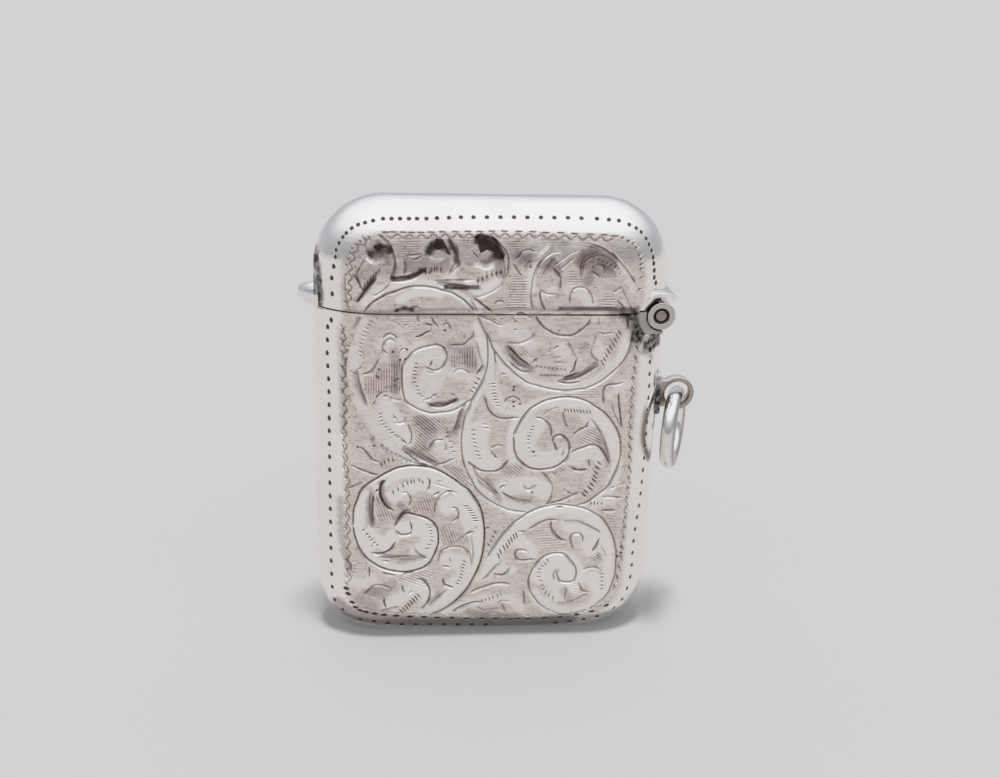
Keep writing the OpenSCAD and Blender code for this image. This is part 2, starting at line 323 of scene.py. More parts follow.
hatchTool = {"start": 0.7, "least": 5, "trim": 1, "gap": 0.5, "half": 0.085, "inkShare": 0.7}
hatchLook = {"steep": 0.9, "dull": 0.3, "taper": 0.4}


def hatch(corners, slant, pitch=2.6, ink=0.4):
    corners = np.reshape(np.asarray(corners, float), (-1, 2))
    aim = np.array([math.cos(math.radians(slant)), math.sin(math.radians(slant))])
    across = np.array([-aim[1], aim[0]])
    half, trim, ink = hatchTool["half"], hatchTool["trim"], hatchTool["inkShare"] * ink
    cuts, level = [], (corners @ across).min() + pitch * hatchTool["start"]
    while level < (corners @ across).max():
        marks = []
        for p, q in zip(corners, np.roll(corners, -1, 0)):
            hp, hq = p @ across - level, q @ across - level
            if (hp > 0) != (hq > 0):
                marks.append((p + (q - p) * hp / (hp - hq)) @ aim)
        marks.sort()
        for start, stop in zip(marks[::2], marks[1::2]):
            if stop - start > hatchTool["least"]:
                ends = [aim * (start + trim) + across * level, aim * (stop - trim) + across * level]
                path = spacedLine(*photoToSheet(ends), hatchTool["gap"])
                cuts.append(cutAlong(path, half, half, ink=ink, **hatchLook))
        level += pitch
    return cuts


# Dark cuts are inked in their core only; a cut keeps clear of the outline except where it meets the mouth
inkForm = {"dark": 0.3, "coreFrom": 0.3, "coreSpan": 0.5, "faint": 0.02}
clearance = {"patch": 0.2, "line": 0.3, "mouth": 0.3, "track": 0.02, "core": 0.68}


def cutDepth(flat, cuts):
    depth, ink, dull = np.zeros(len(flat)), np.zeros(len(flat)), np.zeros(len(flat))
    for cut in cuts:
        if "rim" in cut:
            within = insideLoop(flat, cut["rim"]) & (loopDistance(flat, cut["rim"]) > clearance["track"])
            depth[within] = np.maximum(depth[within], cut["depth"])
            ink[within] = np.maximum(ink[within], cut["ink"])
            dull[within] = np.maximum(dull[within], cut["dull"])
            continue
        path, reach = cut["path"], max(cut["left"].max(), cut["right"].max())
        near = np.where((flat > path.min(0) - reach).all(1) & (flat < path.max(0) + reach).all(1))[0]
        if len(near) == 0:
            continue
        p, along = path[:-1], np.diff(path, axis=0)
        off = flat[near][:, None] - p[None]
        share = np.clip((off * along).sum(-1) / np.maximum((along ** 2).sum(-1), tiny), 0, 1)
        away = off - share[..., None] * along
        gap = np.hypot(away[..., 0], away[..., 1])
        nearest = gap.argmin(1)
        row = np.arange(len(near))
        t, gap = share[row, nearest], gap[row, nearest]
        side = along[nearest, 0] * off[row, nearest, 1] - along[nearest, 1] * off[row, nearest, 0]
        mix = lambda values: values[nearest] * (1 - t) + values[nearest + 1] * t
        wide = np.where(side > 0, mix(cut["left"]), mix(cut["right"]))
        fill = np.clip(1 - gap / np.maximum(wide, tiny), 0, 1)
        fill[fill < inkForm["faint"]] = 0
        deep = fill * mix(cut["depth"])
        deeper = deep > depth[near]
        depth[near[deeper]] = deep[deeper]
        core = np.clip((fill - inkForm["coreFrom"]) / inkForm["coreSpan"], 0, 1)
        ink[near] = np.maximum(ink[near], cut["ink"] * (core if cut["ink"] > inkForm["dark"] else fill))
        dull[near] = np.maximum(dull[near], cut["dull"] * (fill > 0))
    return depth, ink, dull


def tracksOf(cut):
    side, path = sideways(cut["path"]), cut["path"]
    left, right, core = cut["left"][:, None], cut["right"][:, None], clearance["core"]
    walls = path + side * left, path - side * right
    return path, *walls, path + side * core * left, path - side * core * right


def cutsInside(cuts, loop, mouth):
    lines, kept = [], []
    for cut in cuts:
        if "rim" in cut and insideLoop(cut["rim"], loop).all():
            if loopDistance(cut["rim"], loop).min() > clearance["patch"]:
                kept.append(cut)
                lines += [(cut["rim"], True), (cut["inner"], True)]
    swept = [cut for cut in cuts if "rim" not in cut]
    tracks = [tracksOf(cut) for cut in swept]
    every = [np.concatenate(same) for same in zip(*tracks)]
    inside = [insideLoop(spots, loop) for spots in every]
    gap = [loopDistance(spots, loop) for spots in every]
    first = 0
    for cut, track in zip(swept, tracks):
        size = len(cut["path"])
        span = slice(first, first + size)
        first += size
        atMouth = np.abs(cut["path"][:, 1] - mouth) < clearance["mouth"]
        good = inside[0][span] & ((gap[0][span] > clearance["line"]) | atMouth)
        for run in np.split(np.arange(size), np.where(np.diff(good.astype(int)) != 0)[0] + 1):
            if not good[run[0]] or len(run) < 2:
                continue
            kept.append({key: (value[run] if isinstance(value, np.ndarray) else value)
                         for key, value in cut.items()})
            for k in range(5 if cut["ink"] > inkForm["dark"] else 3):
                if (inside[k][span][run] & (gap[k][span][run] > clearance["track"])).all():
                    lines.append((track[k][run], False))
    return kept, lines


# The engraved scrolls, each cut drawn as key spots on the photograph
# The near-black patches on the three lid leaves paint the dark reflections of their bright-cut facets
lidLeftLeaf = [vLine(3.2, .7, [378,234, 384,238, 389,244, 392,251, 394.5,258, 395.3,265, 394,272, 392,278,
    390,282]), vLine(2.2, .5, [380,237, 385,241.5, 389,247, 392,252.5, 393,256]), vLine(2, .5, [390,282,
    387,286.5, 383,290.5, 378,294, 374,295.7, 371,293.5]), patch([377,256, 383.5,250.5, 386,255,
    380,262], .35), patch([372,246, 380,243, 387,247, 388,252, 383,249, 376,252], 1.05),
    gouge(5, .0, [364.5,253, 366,257, 369,260.5, 373,263, 376,263.5, 380,262.5]), vLine(2, .35, [364,254,
    363,260, 359,268, 356,274, 358,281, 361,288, 363,292]), vLine(2.6, .9, [352,274, 355,277, 358,282,
    361,288]), gouge(3.5, .9, [376,279, 371,284, 366,290, 361,297, 356,303]), barsAlong([364.5,285,
    379,271], 6, (.25, -1), 7, .6), vLine(2, .4, [345,275, 344,285, 345,295, 347,305, 350,312])]
lidSecondLeaf = [vLine(1.8, .5, [404,258, 405,265, 404.5,272, 405,277]), vLine(1.8, .5, [406.5,262,
    406,273]), vLine(2, .7, [404.5,256, 412,255, 420,254, 424,252.5]), vLine(2.2, .9, [411,260, 418,258.5,
    423,254]), patch([430,252, 432,246, 436,238, 443,238, 449,250, 452,256, 446,256, 443,249,
    437,250], 1.0), gouge(3, .0, [433,235.5, 431.5,240, 430,246]), gouge(4, .0, [427,254, 431,260, 434,262,
    440,261, 445,258]), gouge(6, .8, [447,236, 451,242, 455,250, 458,257, 458.5,261]),
    vLine(1.8, .5, [455,262, 453,266, 450,272, 449,275]), vLine(1.8, .5, [461,260, 459,266, 454,270,
    450,275]), gouge(8, .8, [391,282, 403,281, 415,277.5, 426,270]), bars([426,272, 429.5,272, 431.5,270,
    434.5,269.5, 437,269, 441,269.5], (0, 1), 6.5, .6)]
lidThirdLeaf = [patch([477,238, 483,237, 490,242, 497,249, 501,254, 494,252, 487,251, 480,254, 478,249,
    478,243], 1.0), gouge(4, .0, [474,269, 478,266, 486,269, 493,266, 495,262]), vLine(2, .9, [472,250,
    476,255, 480,260]), vLine(2.2, .35, [482,237, 490,242, 497,248, 502,255, 504,262, 505,270, 504,278,
    501,285, 495,290, 488,294, 480,297, 473,297]), vLine(2.2, .6, [484,234, 492,237, 498,242, 503,247,
    507,252, 508.5,257, 509,262, 508,272, 506,278]), bars([478,281, 482.5,279, 487,276.5, 492,274.5,
    496.5,273.5, 501,272.5], (0, 1), 6, .6, 2.5), gouge(7, .7, [436,282, 450,285, 462,286, 471,287]),
    vLine(2, .8, [450,288.5, 462,288.7, 470,288]), vLine(1.8, .5, [433,281, 445,281, 460,280.5, 475,280]),
    vLine(1.8, .5, [437,283, 443,286, 449,288]), vLine(2, .6, [514,261, 519,256.5, 522,252, 525,250,
    530,249.3, 534,251, 538,253]), vLine(2, .6, [513,263, 516,267, 519,272, 522,277]),
    vLine(2, .6, [527,265, 529,262.5, 533,261.5]), dots([531,267], .7), gouge(4, .0, [537,258, 544,252,
    550,246])]
lidArch = [vLine(2.6, .75, [364,312, 367,308, 372,303, 379,299, 386,295, 395,292, 403,289, 411,287,
    420,286.5, 428,287, 436,288.5, 444,291, 452,293, 459,297, 465,301, 470,306, 474,311]),
    vLine(2, .5, [470,299, 474,305, 477,311]), vLine(2.5, .9, [473,298, 478,301, 484,306, 489,310,
    492,312]), vLine(2, .6, [410,308, 414,307, 418,308, 421,309]), vLine(2, .6, [493.5,305, 497,302,
    502,301.5, 505,304])]
lidRightScroll = [vLine(2.2, .5, [533,309, 531.5,300, 531.5,290, 533,280, 535,272, 539,265, 544,259,
    550,254, 555,252, 562,252]), vLine(2, .8, [545,310, 541.5,302, 540,295, 540.5,290]),
    vLine(2, .5, [540,289, 545,293, 551,294.5, 557,293.5]), gouge(7, .5, [560,256, 552,262, 546,270,
    542,277]), vLine(2, .6, [552,267, 556,271, 560,276, 561,280, 560,290]), vLine(1.8, .35, [553,267,
    559,262, 566,257, 572,253, 580,251]), vLine(1.8, .35, [560,270, 566,265, 572,260, 576,257]),
    vLine(2.2, .5, [575,245, 582,243, 590,243.5, 598,246, 605,249, 611,253, 617,258, 622,263, 627,269,
    631,275, 634,280, 636,283]), vLine(2.4, .9, [612,252, 617.5,257.5]), vLine(2.4, .9, [624,263,
    626,265.5]), vLine(2.4, .9, [633,276, 635.5,283]), gouge(5, .5, [573,247, 583,245.5, 593,247.5,
    600,249.5]), vLine(2.4, .3, [600,251, 592,254, 586,257, 583,261, 581.5,267, 581.5,274, 581.5,279]),
    gouge(6.5, .6, [583,275, 583.5,266, 588,259.5, 597,255.5, 606,256.5, 614,262, 620,270]), patch([592,270,
    597,263, 606,265, 616,271, 618,278, 606,279, 598,277], .55), bars([594,258.5, 599,260, 603,262,
    607,263.5, 611,265.5, 615,268, 618,270, 620,274], (.5, -.85), 5, .5, 1.8), vLine(2.2, .6, [591,270,
    595,266, 600,264, 604,266, 605,271, 604,276]), vLine(2.2, .8, [591,271, 596,274, 600,278]),
    vLine(2.4, .4, [611,292, 616,291.5, 620,288, 622,286]), gouge(5, .35, [622,286, 625,293, 629,302,
    632,309]), vLine(2, .8, [617,300, 622,305, 625,309]), vLine(2.2, .5, [570,303, 570.5,295, 573,290,
    579,287.5, 586,288.5, 590,292, 592.5,298, 594,305])]
leftScrollOuter = [vLine(2.8, .75, [363.6,312.6, 358.5,320.4, 355.5,326.5, 351.4,336.4, 348,345.7,
    345.6,356.4, 344.7,365.7, 344.7,373, 345.7,382, 347.2,391, 349.3,400, 352.9,408.5, 358.6,420.7, 365,430,
    374.3,440, 383,446.8, 391,452.5, 401.4,457.5, 408,460.4, 415,463, 420,464.6, 429.3,465.7]),
    vLine(2.5, .65, [477.5,317, 480,321.5, 483,327.5, 485.5,333, 487.3,340, 488,350, 488,360, 487.3,367,
    486,372, 484,378, 481,384, 477.5,390, 474,396, 471.5,400, 467,402.5, 462,406, 456,409.5, 449,412,
    444,412.5, 437,413, 431,413.5, 425,412, 420,410.3, 416.5,408.5, 412,406, 407.5,403, 404.8,399.5,
    403.5,394.5, 402.3,388, 401.8,380, 401.8,372, 402.5,366.5, 404.5,361.5, 408,357.5, 412,353, 418,349.5,
    424,347.5, 430,346, 437,345.3, 442,347, 445.5,350.5, 447.4,356.3, 445.5,361.5, 443,366, 439,369.5,
    434,371, 430,369.5, 425,366]), vLine(1.8, .6, [427,371, 431,373, 436,373.3]), vLine(2, 1, [432.5,359.7,
    430,366.5]), gouge(6, .45, [476.5,341, 478,348, 479.5,355, 481.5,361, 482.5,365, 479.5,370,
    476.5,374.5]), vLine(2.6, .9, [483,365, 476.5,375]), bars([478.5,379, 476,383.5, 474,388,
    471.8,391.5], (.75, .6), 6.5, .5), vLine(2.2, .4, [453,374.5, 456,371, 460,369.3, 464,370, 467,371.5,
    470,374.5]), vLine(2, .45, [448.6,346, 457.8,345.3, 463.5,345, 467.5,341.5, 471,338.5, 473.5,335,
    473.8,331, 473,329]), vLine(2.2, .6, [443,327, 446,323.5, 449.5,325.5, 450.5,329.5]),
    vLine(2, .7, [444.5,336, 447,335.5]), vLine(2, .8, [454.5,334.5, 458.5,333.5]), dots([445,330.5], .8),
    vLine(2.2, .8, [416.4,313.5, 416.5,315, 419,321, 423.3,324]), vLine(2.4, .8, [424.5,322, 428,324.5,
    433,326.3]), vLine(2.2, .7, [431,316, 434,322, 438.5,327.5]), vLine(2.4, .9, [414,337, 420,336.5,
    425,333.5, 431.5,330.5])]
leftScrollLeaves = [gouge(4, .5, [388,320, 394,322.3, 399.5,325.5, 404.5,329.5]), vLine(2.4, .5, [383,339,
    386,335.5, 390.5,334, 395.5,336.5, 396.5,340]), vLine(2.6, .5, [395.5,342.5, 391,339.5, 386,341,
    383,345, 382.5,349, 385,352.5, 388.5,355]), dots([393,352, 407,349.5, 400,360, 405.5,359.3, 379,369.5,
    376.5,376.5, 378.5,378, 395,380.5, 397.5,379, 394.8,385.5], .8), vLine(2, .2, [380,351, 382.5,355]),
    vLine(2, .4, [399.5,353, 402.5,349.5, 408,349]), barsAlong([371.5,321.8, 366,330, 363,336.5, 361.5,342,
    360,350, 360.5,356], 10, (.85, .52), 7, .4), vLine(2.5, .6, [356.8,370, 360,368, 362,364.5]),
    vLine(2, .9, [352.5,372, 356.5,374.5]), gouge(6, .55, [357.5,371, 357.5,378, 360,387, 362.5,394,
    365.5,401, 367.5,407]), vLine(2.2, .7, [361,374.6, 366,373.8, 371,371.5, 374,367.5, 376.5,363,
    379.5,358.5]), vLine(2.6, .5, [376,398.5, 380,394.5, 384,392.3, 387,391.8]), vLine(2.4, .8, [382,396.5,
    389.5,396.3]), vLine(2.4, .25, [389.5,396.5, 394,399.3, 399,400.5, 403.5,400.3]),
    vLine(2, .7, [372.5,405.5, 375.5,400.5]), vLine(2.4, .8, [393,414.5, 395,418, 397,420.3]),
    vLine(2.6, .4, [394,422, 397.5,423.3, 402,423, 405,420.5, 407,415.5]), bars([380.5,414, 380.5,417.5,
    381.5,421, 383.5,424.5, 386,427.5, 389.5,430, 392,433, 395.5,435.5, 398.5,437], (.9, -.35), 7, .65),
    vLine(2.2, .6, [407.5,424, 410,429.5, 411.5,433.5, 411.5,439, 410.5,443, 408,445.5]),
    vLine(2, .8, [400.5,437, 403.5,441, 407,444.5]), bars([416.5,364, 416,368, 415,371.5, 414.5,375,
    414.5,378.8, 414.5,382.5, 416.5,386.5, 418,390.5, 419.5,394, 422,396.5], (.98, .15), 6, .7),
    vLine(2, .6, [423.5,400, 429,399, 433,397.5]), vLine(2.5, .7, [430.5,398, 434,395.5, 437.5,393.5]),
    vLine(1.8, .9, [450.5,394, 456,395.5]), gouge(6.5, .85, [426,402.5, 432,406, 438,407.3, 445,406.3,
    452,403, 458.5,398.3]), gouge(7, .45, [466,403, 463.5,407, 460,416, 457,424, 453,432])]
middleStalk = [gouge(5, .3, [488,334.4, 493.8,350.5, 495.5,365, 495,380]), barsAlong([493.5,384, 494,391,
    495.5,398, 498,406], 8, (1, 0), 8, .55), vLine(1.8, .9, [494.8,350, 495,357, 496,362, 497.5,364.5]),
    vLine(2.2, 1, [494.3,314, 499,317.5, 503.5,321.5]), gouge(7, .4, [478,313.5, 488,317, 497,321.5,
    504.5,325]), vLine(2, .6, [477.5,315, 484,318, 491,320.5, 497,324, 504.5,326.3])]
rightScroll = [vLine(2.2, .65, [486.5,331.5, 490,340, 492.5,347, 495.5,352, 499,356.5, 503,361.5, 507,366,
    511,369.7, 516,374.5, 522,379, 529,383.5, 538,386, 545,388, 552,389.5, 560,390.5, 568,391, 576,390,
    584,389, 589,387.5, 595,385, 602,381, 608.5,376, 614.5,371, 619,367, 623.5,361.5, 627,355.5, 630,349.5,
    631.5,343, 632.5,338, 633.5,330]), vLine(3, 1, [627,317.5, 628.5,322, 628.5,329]),
    vLine(2.4, .15, [618,315.5, 622,317.5, 625,320.5]), vLine(2.6, .7, [535.5,315, 537.5,319, 540,323,
    544,327.5, 549,331, 554.5,334, 560,335.5, 566,336, 571.5,336, 576,334, 581,330.5, 585.5,327, 589,323.5,
    591,318]), vLine(2, .8, [548,313.8, 549.5,317]), vLine(2.6, .3, [506,342.5, 511,343.5, 518,344, 525,342,
    530.5,339, 536.3,331]), vLine(2.4, .3, [513,318.5, 515,315.5, 518,313.8, 524,314, 530,317.5,
    532.8,320.7]), vLine(2.2, .6, [513.5,318, 516,322, 519,323.5]), vLine(2.4, .6, [512,329, 515,330,
    519,329.5]), gouge(9, .3, [509,354, 515,360, 521,366, 530,369]), vLine(2, 1, [508,346.5, 513,351.5,
    518,357, 523.5,361.5, 529.5,366]), vLine(2, .6, [510,361.5, 514,366, 519,370, 525,372.5, 530,371.5]),
    vLine(2, .7, [500,374, 508,374.5]), dots([514,387, 513.5,390], .8), vLine(2.2, .8, [532,363.5,
    535,360.5, 538.5,357.5]), vLine(1.8, .5, [540,356.3, 545,355.8]), vLine(2.2, .2, [545,353, 552,352]),
    vLine(2, .8, [554,350.5, 556,347.5, 560.5,346]), vLine(2, .4, [553.5,357, 558,358, 563,357]),
    vLine(2, .4, [554,361, 558,363, 564,362.5]), vLine(2.2, .35, [567,341, 571,347, 574.5,353.5,
    577,358.5]), vLine(2.4, .9, [577.3,358.5, 575.5,363.5, 574.5,368, 572.5,371.5, 569.5,374.5]),
    dots(np.linspace((537, 366.5), (565, 370), 8), .5), dots(np.linspace((541, 375), (562, 375.5), 7), .5),
    vLine(2, .4, [597,331.5, 601,333, 605,334.5, 609,333.5, 614,332.2]), vLine(2, .35, [597,333, 595,340,
    593,346, 591.5,353, 593.5,357, 597,360.5, 600,362]), barsAlong([620,333, 614,344, 608,352.5,
    602.5,363], 9, (.5, .85), 7.5, .4), gouge(8, .6, [557,380.5, 566,380.5, 575,379, 584,375, 592,370,
    599.5,366]), vLine(2, .9, [562,378.5, 567,377.5, 573,375, 579,372.5]), vLine(2, .9, [557,381, 563,383,
    570,383.5, 577,382.5, 581,381])]
middleLeaf = [vLine(2.4, .7, [483.5,396, 485.5,400, 486.5,404, 488.5,409, 492.5,414, 498,418, 505,419,
    512,418.5, 520,417.5]), vLine(2.2, .6, [503.5,404, 507,399, 508.5,398.5, 513,397, 518,399, 521.5,402]),
    vLine(2, .9, [505,408.5, 509,408.5]), dots([520,404, 513.5,402, 513.8,406.5], .8),
    vLine(2, .6, [481,424.3, 489,425]), vLine(2, .6, [482,428, 490.5,428.5]), bars([474,430.5, 474,435,
    474,439.5, 474.5,443, 475,447, 476.5,451.5, 478,455.5, 480,459], (.96, .25), 7, .45),
    vLine(2.2, .6, [490,450, 493,454, 497,457.5]), vLine(3, 1, [494,456, 498,458.5]),
    vLine(2.2, .5, [490,449.5, 494,447, 499,445.5, 503,447]), vLine(2.4, .8, [467,461, 472.5,465.5, 477,469,
    483,471.5, 490,472, 496,471.5, 500.5,469.5, 503,467, 507,462, 509.5,459])]
print("upper scrolls drawn")
rightLowScroll = [vLine(2.4, .6, [472,399.5, 470.5,405, 467,412, 464.5,420, 463,428, 461.5,437, 461.5,446,
    462,453, 463,460, 465,467, 468,474, 471.5,480, 475,487, 480,493, 487,499, 495,504, 503,508, 512,511,
    522,512.3, 527,512.4]), vLine(2.5, .75, [513.5,436, 516,430, 519,424, 523,417.5, 528,411.5, 533,407.5,
    543,402, 551,399.5, 559,398, 567,397.3, 576,398.2, 583,400, 590,403, 596,407, 600,409.5, 606,414,
    611,419.5, 615,425.5, 618.5,431.5, 620.5,438, 621.3,445, 621.3,453, 620,461, 617,469, 613,477, 609,485,
    604,490.5, 598,495, 591,500, 585,503.5, 576,505.5]), vLine(2.6, .8, [513.5,436, 514,441, 514.5,450,
    517,457, 521,462, 527,467, 533,469.3, 540,470, 550,468.8, 557,466.5, 562,463, 565.5,460, 568.5,455,
    569.5,450, 569.5,445.5, 568,441, 565,437.5, 561,435.3, 557,436, 553.5,438, 553,443]),
    vLine(2.4, .7, [534,418.5, 539,418, 545,420.5, 549.5,425, 551.5,430, 551.5,435, 550.5,437.5]),
    gouge(6, .8, [553.5,442, 555,446, 556.5,451]), vLine(1.8, .4, [566,446, 563.5,452, 561,457]),
    bars([533,427, 531.5,430, 530.5,433.5, 529,436.5, 528.5,440, 528.5,444, 529,448.5, 532,452, 535,456.5],
    (1, 0), 6, .75), dots([533.5,452], .9), gouge(5, .3, [543,416.5, 548,412.5, 554,409, 561,408]),
    vLine(2.4, .5, [563,411, 564,418, 566,424, 568,428]), barsAlong([565,410,
    590,412], 9, (.35, .94), 6, .5), vLine(2.4, .7, [573,435.5, 577,432, 581,429.5, 585.5,427.5, 588,423.5,
    589.5,420.5]), gouge(5, .55, [587,418.5, 592,420, 596,425, 600,431, 604,440, 607,449, 609,458,
    609.5,464]), vLine(2.4, .7, [571,454, 573,452, 577,450, 583,448, 589,445.8, 595,445.5, 600,448,
    604,452.5, 607,458, 609,463]), vLine(2.8, .9, [571.5,466.5, 574,469.5, 579,470.5, 584,470.3, 588,469]),
    vLine(2.6, .6, [590,467, 588.5,459]), bars([599.5,463.5, 597.5,468, 596,473, 595,477, 594,480.5,
    592,485, 590,488.5, 586,492, 584,495], (.7, .7), 7.5, .65), vLine(3, .6, [544.3,505, 556,502.5, 563,500,
    573,495.5, 579,491.5]), vLine(2.4, .6, [566.5,490.5, 570,493.5, 573,495]), vLine(2.2, .7, [604,404,
    603.5,396, 603.8,390, 606,386.5, 610,385, 616,384.7, 620,384, 624.5,381.5]), vLine(2.6, .9, [619,393,
    619.5,402, 620.5,412, 621.5,420, 622.5,428]), vLine(2, .4, [612,403, 615.5,415, 622,427]),
    vLine(2.4, .8, [609,489, 613.5,487.5, 616.5,486.5]), vLine(1.8, .4, [616.5,486.5, 624,484]),
    vLine(2.2, .65, [600.5,497.3, 610,497, 622,498]), vLine(2.8, .85, [600.5,510.5, 608,510.8, 616,510.5]),
    bars([591,503.5, 594.5,503.5, 598,503.5, 602,503.5], (0, 1), 5, .6)]
lowMiddleLeaf = [vLine(2.6, .8, [499.5,489.5, 501.5,487, 506,485]), vLine(2.4, .4, [503,483, 508,481]),
    vLine(2.2, .5, [541,471.5, 546,476, 550,481, 553,488, 552,494, 550,500, 545.4,505]),
    vLine(2.6, .5, [523.5,484, 525,488, 529,490, 533,487, 537,484.5]), dots([532,492.5], .7),
    barsAlong([503,493.5, 514.4,499, 530.5,501.5], 13, (.6, .8), 6.5, .45), vLine(2.2, .5, [473,467,
    476,473, 481,479, 487,484, 493,490, 499,495]), gouge(8, .35, [476,478, 484,486, 492,493, 497,497])]
leftLowScroll = [vLine(2.8, .95, [352.7,526, 352.5,517, 353.5,508, 356,502, 358.5,495, 361,490, 365,486,
    371,482, 377.5,478.5, 384,474.5, 390,471.5, 397,468.5, 404,467, 412,466, 420,466.5, 429,467.5, 437,470,
    444,473.5, 450,477, 458,482.5, 464,487, 469,490.5, 474,497, 479,505, 482,513, 483.5,521, 484.5,530,
    484.5,540, 483.5,549, 481.5,559, 478,569, 473,579, 467,589, 459,598, 450,605.5, 441,611, 431,614.5]),
    vLine(2.8, .95, [352.7,526, 353.5,533, 355.5,540, 358.5,547.5, 362,553, 367,559, 373,563.5, 380,567.5,
    387,570, 394,571.5, 402,572.5, 410,572, 418,570, 424,567.5, 429,563.5, 432.5,558.5, 435.5,552, 438,545,
    438.5,538, 437.5,530, 434.5,524, 430,520.5, 424,517.5, 418,516, 413,514.5, 407,513.5, 402,515.5,
    397.5,521, 394.5,527]), vLine(3, .7, [398.5,517.5, 402,514, 406,511.5, 410,510]),
    vLine(2.6, .95, [410,521.5, 411.5,527, 412,530.5]), vLine(2.4, .8, [394.5,529.5, 397.5,532.5, 401,535,
    405,535, 410,534, 412,530.5]), bars([427,525, 430,528, 431,531, 431.5,534, 432,537.5, 431.5,541,
    430,545, 427.5,549], (.97, .2), 6, .5), bars([363,530.5, 367,534.5, 369.5,537.5, 371.5,540, 374.5,543,
    377.5,545.5], (.75, -.65), 5, 1, 2.6), vLine(1.8, .6, [375.5,529.5, 379,527.5, 382,527]),
    vLine(2.8, .9, [371,552, 376,554, 383,553.5, 389,551, 393,546.5, 396,541.5]), gouge(5, .6, [379,556.5,
    385,558.5, 392,558, 400,557, 415,556]), vLine(2.6, .7, [381,560.5, 390,562.5]),
    vLine(2, .5, [413.5,546.5, 416,551, 420,555, 425,558.5, 428.5,559.5]), vLine(2.4, .8, [382.5,571.5,
    387,574.5, 395.5,575.5]), vLine(3, .7, [401,575.5, 407,573.5, 414,572.5]), vLine(2.4, .8, [350.5,563,
    350.5,572]), bars([353.5,561.5, 354.5,565.5, 354.5,569, 354,572.5], (.8, .5), 5, .8),
    vLine(2.4, .8, [369,566.5, 369.3,577])]
leftLowLeaves = [vLine(3.2, 1, [386.5,479.5, 382,483.5, 380.8,488, 380,493, 381,498, 383.5,503, 388,508,
    394,511]), vLine(3.2, 1, [375,493, 379.5,488.5]), bars([393,492, 398,489, 403,485.5, 407.5,483,
    411,481.5, 414,481, 419,480, 422.5,482], (.3, .95), 6, .8), vLine(2.6, .8, [427,477.5, 429.5,481,
    429.5,486.5, 427,491]), vLine(2.4, .8, [436,481.5, 443,482]), gouge(4, .4, [430,483, 440,486, 447,488,
    456,490.5]), vLine(2.4, .7, [432,496.5, 437,493.5, 440.5,491]), vLine(2, .5, [400.4,493.5, 407,493,
    410,497, 411,502, 408,507]), gouge(6, .5, [371,492, 369.5,503, 370,514, 372,526]),
    vLine(2.6, .8, [373.5,495, 372.5,505, 372,515, 373,524]), vLine(2.2, .5, [434.5,513, 435,506, 437.5,499,
    441,495.5, 446,492.5, 452,491.5, 457.8,494.6]), vLine(2, .8, [447.5,491.8, 453.5,491.8]),
    vLine(2.4, .7, [450,508, 456,508.5, 458.5,512.5, 458,517.5, 455,520, 451,522.5]), barsAlong([466,506.5,
    470,511, 473,516, 476,521], 7, (1, 0), 8, .55), vLine(2.8, .85, [465,534.5, 470,533, 474.5,531]),
    vLine(1.6, .35, [454,545, 464,536, 478,526]), gouge(4, .6, [471.5,534, 472,543, 473,552, 472.5,560,
    471,566]), vLine(2.2, .5, [438,562, 440.5,553, 443.5,550, 449,548, 455,547, 461,547.5, 466,550, 470,555,
    471.5,564]), vLine(2.2, .8, [449.5,557.5, 450.5,562]), vLine(2.2, .8, [441,565.5, 446,566.8,
    451,567.5]), barsAlong([465,562, 463,570, 461,577, 458,584], 8, (.8, .55), 6, .65),
    vLine(2.6, .85, [442.5,578.5, 444,584, 447,586, 454.5,588.5]), gouge(5, .5, [448.6,588.4, 437,597.6,
    429,604.5]), vLine(2.8, .85, [401.5,585, 403,589.5, 404.5,593]), vLine(2, .4, [411.5,589, 411,592.5,
    407.5,594.5]), vLine(2.8, .85, [418,578.5, 424,581, 428,586, 430,591.5, 429.5,598, 427,604,
    420.5,609.5]), barsAlong([401.5,612, 408,606, 413,600.5, 418.5,596], 8, (.6, .8), 7, .85),
    vLine(3.4, 1, [384.5,598, 384,603, 386.5,608]), vLine(2.2, .8, [380,611.5, 387,609.5, 394,608,
    400,606.5]), vLine(2.4, .5, [363.6,594.5, 368,591, 373,586.5, 380,585.5, 393.5,589.5]), patch([364,595,
    372,586.5, 392,589.5, 387,597, 380,600], .22)]
leftMidLeaves = [vLine(2.6, .8, [350,464.5, 355,467.5, 360.5,470, 367,472.5, 373,474.5, 379,475.7]),
    vLine(2.6, .8, [358,447, 360.5,448, 364.5,451, 369,456, 373,460.5, 380,462.5]), bars([381.5,464.5,
    384.5,462, 388.5,460, 393,460], (.25, .97), 6.5, .85), dots([374,446, 357.5,447], .8),
    vLine(3, .5, [347,489, 352,487, 357,485, 363,481]), gouge(8, .45, [406,448.5, 415,455, 425,461,
    434,465]), vLine(2, .8, [403.5,451, 409,455, 414.5,459.5, 420,463]), vLine(1.8, .4, [411,446.5, 418,452,
    427,458, 437,464]), vLine(2.2, .5, [429,449.5, 431,445, 435,441, 440,440, 445,440.5]),
    vLine(2, .9, [439,440, 445,440.3]), vLine(2.4, .6, [446,443, 446,450, 443.5,452]), bars([447.5,432.5,
    447.5,437, 450.5,442, 452,447.5, 454,452], (1, 0), 6, .6), vLine(2.4, .7, [436,465, 444,463.5,
    450,460.5, 455,459])]
